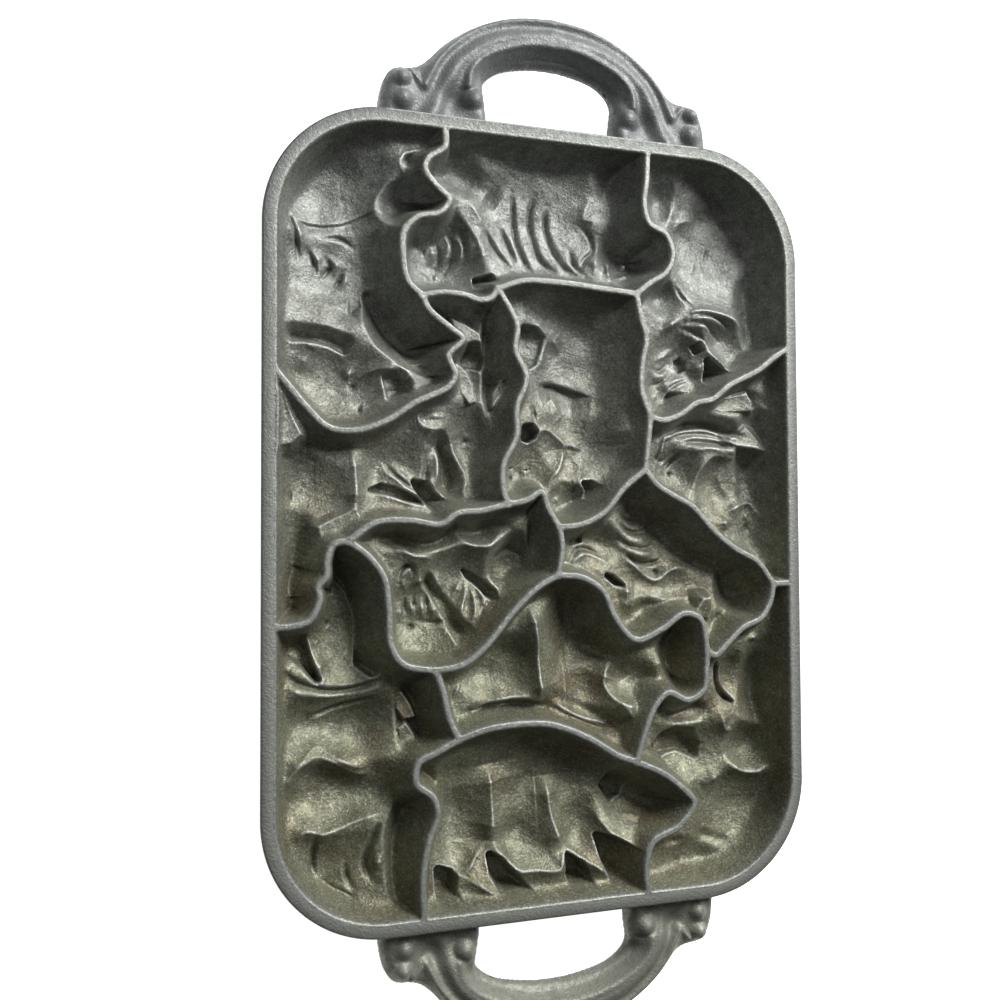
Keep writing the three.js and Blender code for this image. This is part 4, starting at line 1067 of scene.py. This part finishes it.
# Heights of the finish's bumps, in metres
LUMP_HEIGHT = 0.0008
SMOOTH_LUMP_HEIGHT = 0.0006
GRAIN_HEIGHT = 0.0004

# Scales of the finish's noises
PATCHES = 45
BLOTCHES = 220
MOULD_LUMPS = 260
SAND = 1100
MOTTLE = 500
SPECKS = 1400
SMOOTH_LUMPS = 200
SMOOTH_GRAIN = 1300


class Shader:
    """A small helper that adds nodes to a material and wires them up."""

    def __init__(self, name):
        self.material = bpy.data.materials.new(name)
        self.material.use_nodes = True
        self.nodes = self.material.node_tree.nodes
        self.links = self.material.node_tree.links
        self.surface = self.nodes["Principled BSDF"]
        self.place = self.nodes.new("ShaderNodeTexCoord").outputs["Object"]
        self.axes = self.nodes.new("ShaderNodeSeparateXYZ")
        self.set(self.axes.inputs[0], self.place)
        # How far towards the near end: it carries the painted warmer light and places the rust
        self.near_end = self.rescale(self.axes.outputs["Y"], FAR_END, NEAR_END)

    def set(self, socket, value):
        """Gives a socket a constant, or links an output to it."""
        if isinstance(value, bpy.types.NodeSocket):
            self.links.new(value, socket)
        else:
            socket.default_value = value

    def noise(self, scale, detail=4, rough=0.55):
        """A cloudy value over the surface, about 0 to 1."""
        node = self.nodes.new("ShaderNodeTexNoise")
        self.set(node.inputs["Vector"], self.place)
        node.inputs["Scale"].default_value = scale
        node.inputs["Detail"].default_value = detail
        node.inputs["Roughness"].default_value = rough
        return node.outputs["Fac"]

    def rescale(self, value, low, high, to_low=0.0, to_high=1.0):
        """A value taken from one range to another, and held to that range."""
        node = self.nodes.new("ShaderNodeMapRange")
        for name, one in (("Value", value), ("From Min", low), ("From Max", high),
                          ("To Min", to_low), ("To Max", to_high)):
            self.set(node.inputs[name], one)
        return node.outputs["Result"]

    def math(self, operation, one, other):
        """The result of an operation on two values, held between 0 and 1."""
        node = self.nodes.new("ShaderNodeMath")
        node.operation = operation
        node.use_clamp = True
        self.set(node.inputs[0], one)
        self.set(node.inputs[1], other)
        return node.outputs[0]

    def mix(self, factor, one, other):
        """One colour passing into another by a factor."""
        node = self.nodes.new("ShaderNodeMix")
        node.data_type = "RGBA"
        self.set(node.inputs["Factor"], factor)
        self.set(node.inputs["A"], one if isinstance(one, bpy.types.NodeSocket) else (*one, 1))
        self.set(node.inputs["B"], other if isinstance(other, bpy.types.NodeSocket) else (*other, 1))
        return node.outputs["Result"]

    def bump(self, height, strength, distance, normal=None):
        """A surface direction tilted by bumps, on top of another one if given."""
        node = self.nodes.new("ShaderNodeBump")
        self.set(node.inputs["Strength"], strength)
        node.inputs["Distance"].default_value = distance
        self.set(node.inputs["Height"], height)
        if normal is not None:
            self.set(node.inputs["Normal"], normal)
        return node.outputs["Normal"]

    # Pale edges: partly rubbed iron, partly a painted highlight where edges would catch the light
    def edge_wear_and_highlight(self, low, high):
        """How far the surface stands out as an edge, from 0 to 1."""
        return self.rescale(self.nodes.new("ShaderNodeNewGeometry").outputs["Pointiness"], low, high)


# Colours of the iron
# Mould iron at the far and near ends: the change between them is a painted light gradient, lighter and greyer
# far, warmer near
FAR_END_LIT_IRON = (0.235, 0.245, 0.222)
NEAR_END_WARM_LIT_IRON = (0.2, 0.205, 0.136)
DARK_IRON = (0.045, 0.045, 0.038)
RIM_IRON = (0.13, 0.138, 0.129)
# Rim at the near end: lighter and warmer, a painted light gradient
RIM_IN_NEAR_END_LIGHT = (0.16, 0.166, 0.145)
CREST_IRON = (0.17, 0.175, 0.15)
HANDLE_IRON = (0.19, 0.2, 0.198)
# Handle at the near end: lighter and warmer, a painted light gradient
HANDLE_IN_NEAR_END_LIGHT = (0.23, 0.235, 0.195)
# Pale iron: rubbed edges, sand and specks, and the painted highlight along edges
WORN_AND_HIGHLIGHT_IRON = (0.46, 0.475, 0.45)
RUST = (0.14, 0.104, 0.054)


def rough_iron():
    """Sandy iron of the moulds: painted lighter and grey at the far end, brown in a painted warmer light and
    rusty at the near end, smooth on crests.
    """
    shader = Shader("mould_iron")
    # Edges painted pale: partly rubbed iron, partly painted highlight, less of it on the crests
    edges = shader.edge_wear_and_highlight(0.51, 0.55)
    crest = shader.rescale(shader.axes.outputs["Z"], CREST_FOOT, CREST_TOP)
    wear_and_highlight_share = shader.rescale(crest, 0, 1, 0.7, 0.3)
    patches = shader.noise(PATCHES)
    blotches = shader.noise(BLOTCHES)
    sand = shader.noise(SAND, 3, 0.7)
    # Painted light gradient along the pan: lighter and greyer at the far end, warmer at the near end
    body = shader.mix(shader.near_end, FAR_END_LIT_IRON, NEAR_END_WARM_LIT_IRON)
    rusty = shader.math("MULTIPLY", shader.rescale(patches, 0.46, 0.68), shader.near_end)
    body = shader.mix(shader.math("MULTIPLY", rusty, 0.7), body, RUST)
    body = shader.mix(shader.rescale(blotches, 0.4, 0.75, 0, 0.5), body, DARK_IRON)
    body = shader.mix(crest, body, CREST_IRON)
    body = shader.mix(shader.rescale(sand, 0.3, 0.5, 0.6, 0), body, DARK_IRON)
    body = shader.mix(shader.rescale(sand, 0.55, 0.7, 0, 0.6), body, WORN_AND_HIGHLIGHT_IRON)
    # Painted highlight and rubbing on the edges
    worn_and_lit_edges = shader.math("MULTIPLY", edges, wear_and_highlight_share)
    shader.set(shader.surface.inputs["Base Color"], shader.mix(worn_and_lit_edges, body, WORN_AND_HIGHLIGHT_IRON))
    shader.surface.inputs["Metallic"].default_value = 0.5
    shader.set(shader.surface.inputs["Roughness"], shader.rescale(blotches, 0.3, 0.7, 0.42, 0.56))
    lumps = shader.bump(shader.noise(MOULD_LUMPS, 3), 0.4, LUMP_HEIGHT)
    grain = shader.bump(sand, shader.rescale(crest, 0, 1, 0.8, 0.5), GRAIN_HEIGHT, lumps)
    shader.set(shader.surface.inputs["Normal"], grain)
    return shader.material


def smooth_iron(name, far_colour, lit_near_colour):
    """Smoother iron of the rim and handles, faintly mottled, with pale specks, edges painted pale for rubbing
    and as a painted highlight, and a painted lighter, warmer light towards the near end.
    """
    shader = Shader(name)
    # Edges painted pale: partly rubbed iron, partly painted highlight, such as the bright inner edge of the
    # rim
    edges = shader.edge_wear_and_highlight(0.53, 0.62)
    mottle = shader.noise(MOTTLE, 4, 0.6)
    specks = shader.rescale(shader.noise(SPECKS, 2), 0.62, 0.8, 0, 0.5)
    # Painted light gradient: lighter and warmer towards the near end
    body = shader.mix(shader.near_end, far_colour, lit_near_colour)
    body = shader.mix(shader.rescale(mottle, 0.35, 0.65, 0, 0.3), body, DARK_IRON)
    body = shader.mix(shader.math("MULTIPLY", edges, 0.5), body, WORN_AND_HIGHLIGHT_IRON)
    shader.set(shader.surface.inputs["Base Color"], shader.mix(specks, body, WORN_AND_HIGHLIGHT_IRON))
    shader.surface.inputs["Metallic"].default_value = 0.45
    shader.surface.inputs["Specular IOR Level"].default_value = 0.3
    shader.set(shader.surface.inputs["Roughness"], shader.rescale(mottle, 0.3, 0.7, 0.48, 0.64))
    lumps = shader.bump(shader.noise(SMOOTH_LUMPS, 3), 0.3, SMOOTH_LUMP_HEIGHT)
    grain = shader.bump(shader.noise(SMOOTH_GRAIN, 2), 0.6, GRAIN_HEIGHT, lumps)
    shader.set(shader.surface.inputs["Normal"], grain)
    return shader.material


finishes = {
    "rim_iron": smooth_iron("rim_iron", RIM_IRON, RIM_IN_NEAR_END_LIGHT),
    "handle_iron": smooth_iron("handle_iron", HANDLE_IRON, HANDLE_IN_NEAR_END_LIGHT),
    "mould_iron": rough_iron(),
}
for node, piece in pieces.items():
    slot = node.split("_")[-1] + "_iron"
    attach(piece, "root")
    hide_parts(node)
    piece.data.materials.append(finishes[slot])

# Floor
FLOOR_SIZE = 20
FLOOR_LEVEL = -0.0005
PAPER = (0.8, 0.8, 0.8, 1)
WHITE = (1, 1, 1, 1)
bpy.ops.mesh.primitive_plane_add(size=FLOOR_SIZE, location=(0, 0, FLOOR_LEVEL))
floor = bpy.context.object
floor.name = "floor"
paper = bpy.data.materials.new("paper")
paper.use_nodes = True
sheet = paper.node_tree.nodes["Principled BSDF"]
sheet.inputs["Base Color"].default_value = PAPER
sheet.inputs["Roughness"].default_value = 0.9
sheet.inputs["Emission Color"].default_value = WHITE
rays = paper.node_tree.nodes.new("ShaderNodeLightPath")
seen = rays.outputs["Is Camera Ray"]
for ray in ("Is Glossy Ray", "Is Transmission Ray"):
    either = paper.node_tree.nodes.new("ShaderNodeMath")
    either.operation = "MAXIMUM"
    paper.node_tree.links.new(seen, either.inputs[0])
    paper.node_tree.links.new(rays.outputs[ray], either.inputs[1])
    seen = either.outputs[0]
paper.node_tree.links.new(seen, sheet.inputs["Emission Strength"])
floor.data.materials.append(paper)

# Light
ROOM_COLOUR = (0.5, 0.52, 0.53, 1)
ROOM_STRENGTH = 0.05
world = bpy.data.worlds.new("room")
bpy.context.scene.world = world
world.use_nodes = True
room = world.node_tree.nodes["Background"]
room.inputs["Color"].default_value = ROOM_COLOUR
room.inputs["Strength"].default_value = ROOM_STRENGTH


def area_light(name, place, aim, size, power):
    """A square lamp at a place, turned to shine at its aim."""
    data = bpy.data.lights.new(name, "AREA")
    data.size = size
    data.energy = power
    light = bpy.data.objects.new(name, data)
    light.location = place
    light.rotation_euler = (Vector(aim) - Vector(place)).to_track_quat("-Z", "Y").to_euler()
    bpy.context.scene.collection.objects.link(light)


area_light("window", place=(0.85, 1.0, 1.05), aim=(0, 0, 0), size=0.9, power=52)
area_light("ceiling", place=(0.2, 0.2, 1.6), aim=(0, 0, 0), size=1.4, power=2)
area_light("fill", place=(-0.7, 0.25, 0.5), aim=(0, 0.08, 0), size=0.5, power=0.7)

# Camera, as it stood for the photo
CAMERA_TURN = (-0.0340775, 0.3369259, 0.0043908)
CAMERA_SHIFT = (0.0185279, -0.0057795, -0.392103)
CAMERA_OFFSET = (-0.0006, 0.0007, PAN_HEIGHT * MM)
FOCAL_OVER_WIDTH = 1.1
turn = (Matrix.Rotation(CAMERA_TURN[2], 3, "Z") @ Matrix.Rotation(CAMERA_TURN[0], 3, "X")
        @ Matrix.Rotation(CAMERA_TURN[1], 3, "Y")).transposed()
camera_data = bpy.data.cameras.new("camera")
camera_data.lens = FOCAL_OVER_WIDTH * camera_data.sensor_width
camera = bpy.data.objects.new("camera", camera_data)
place = -(turn @ Vector(CAMERA_SHIFT)) + Vector(CAMERA_OFFSET)
camera.matrix_world = Matrix.Translation(place) @ turn.to_4x4()
bpy.context.scene.collection.objects.link(camera)
bpy.context.scene.camera = camera
bpy.context.scene.view_settings.view_transform = "Standard"
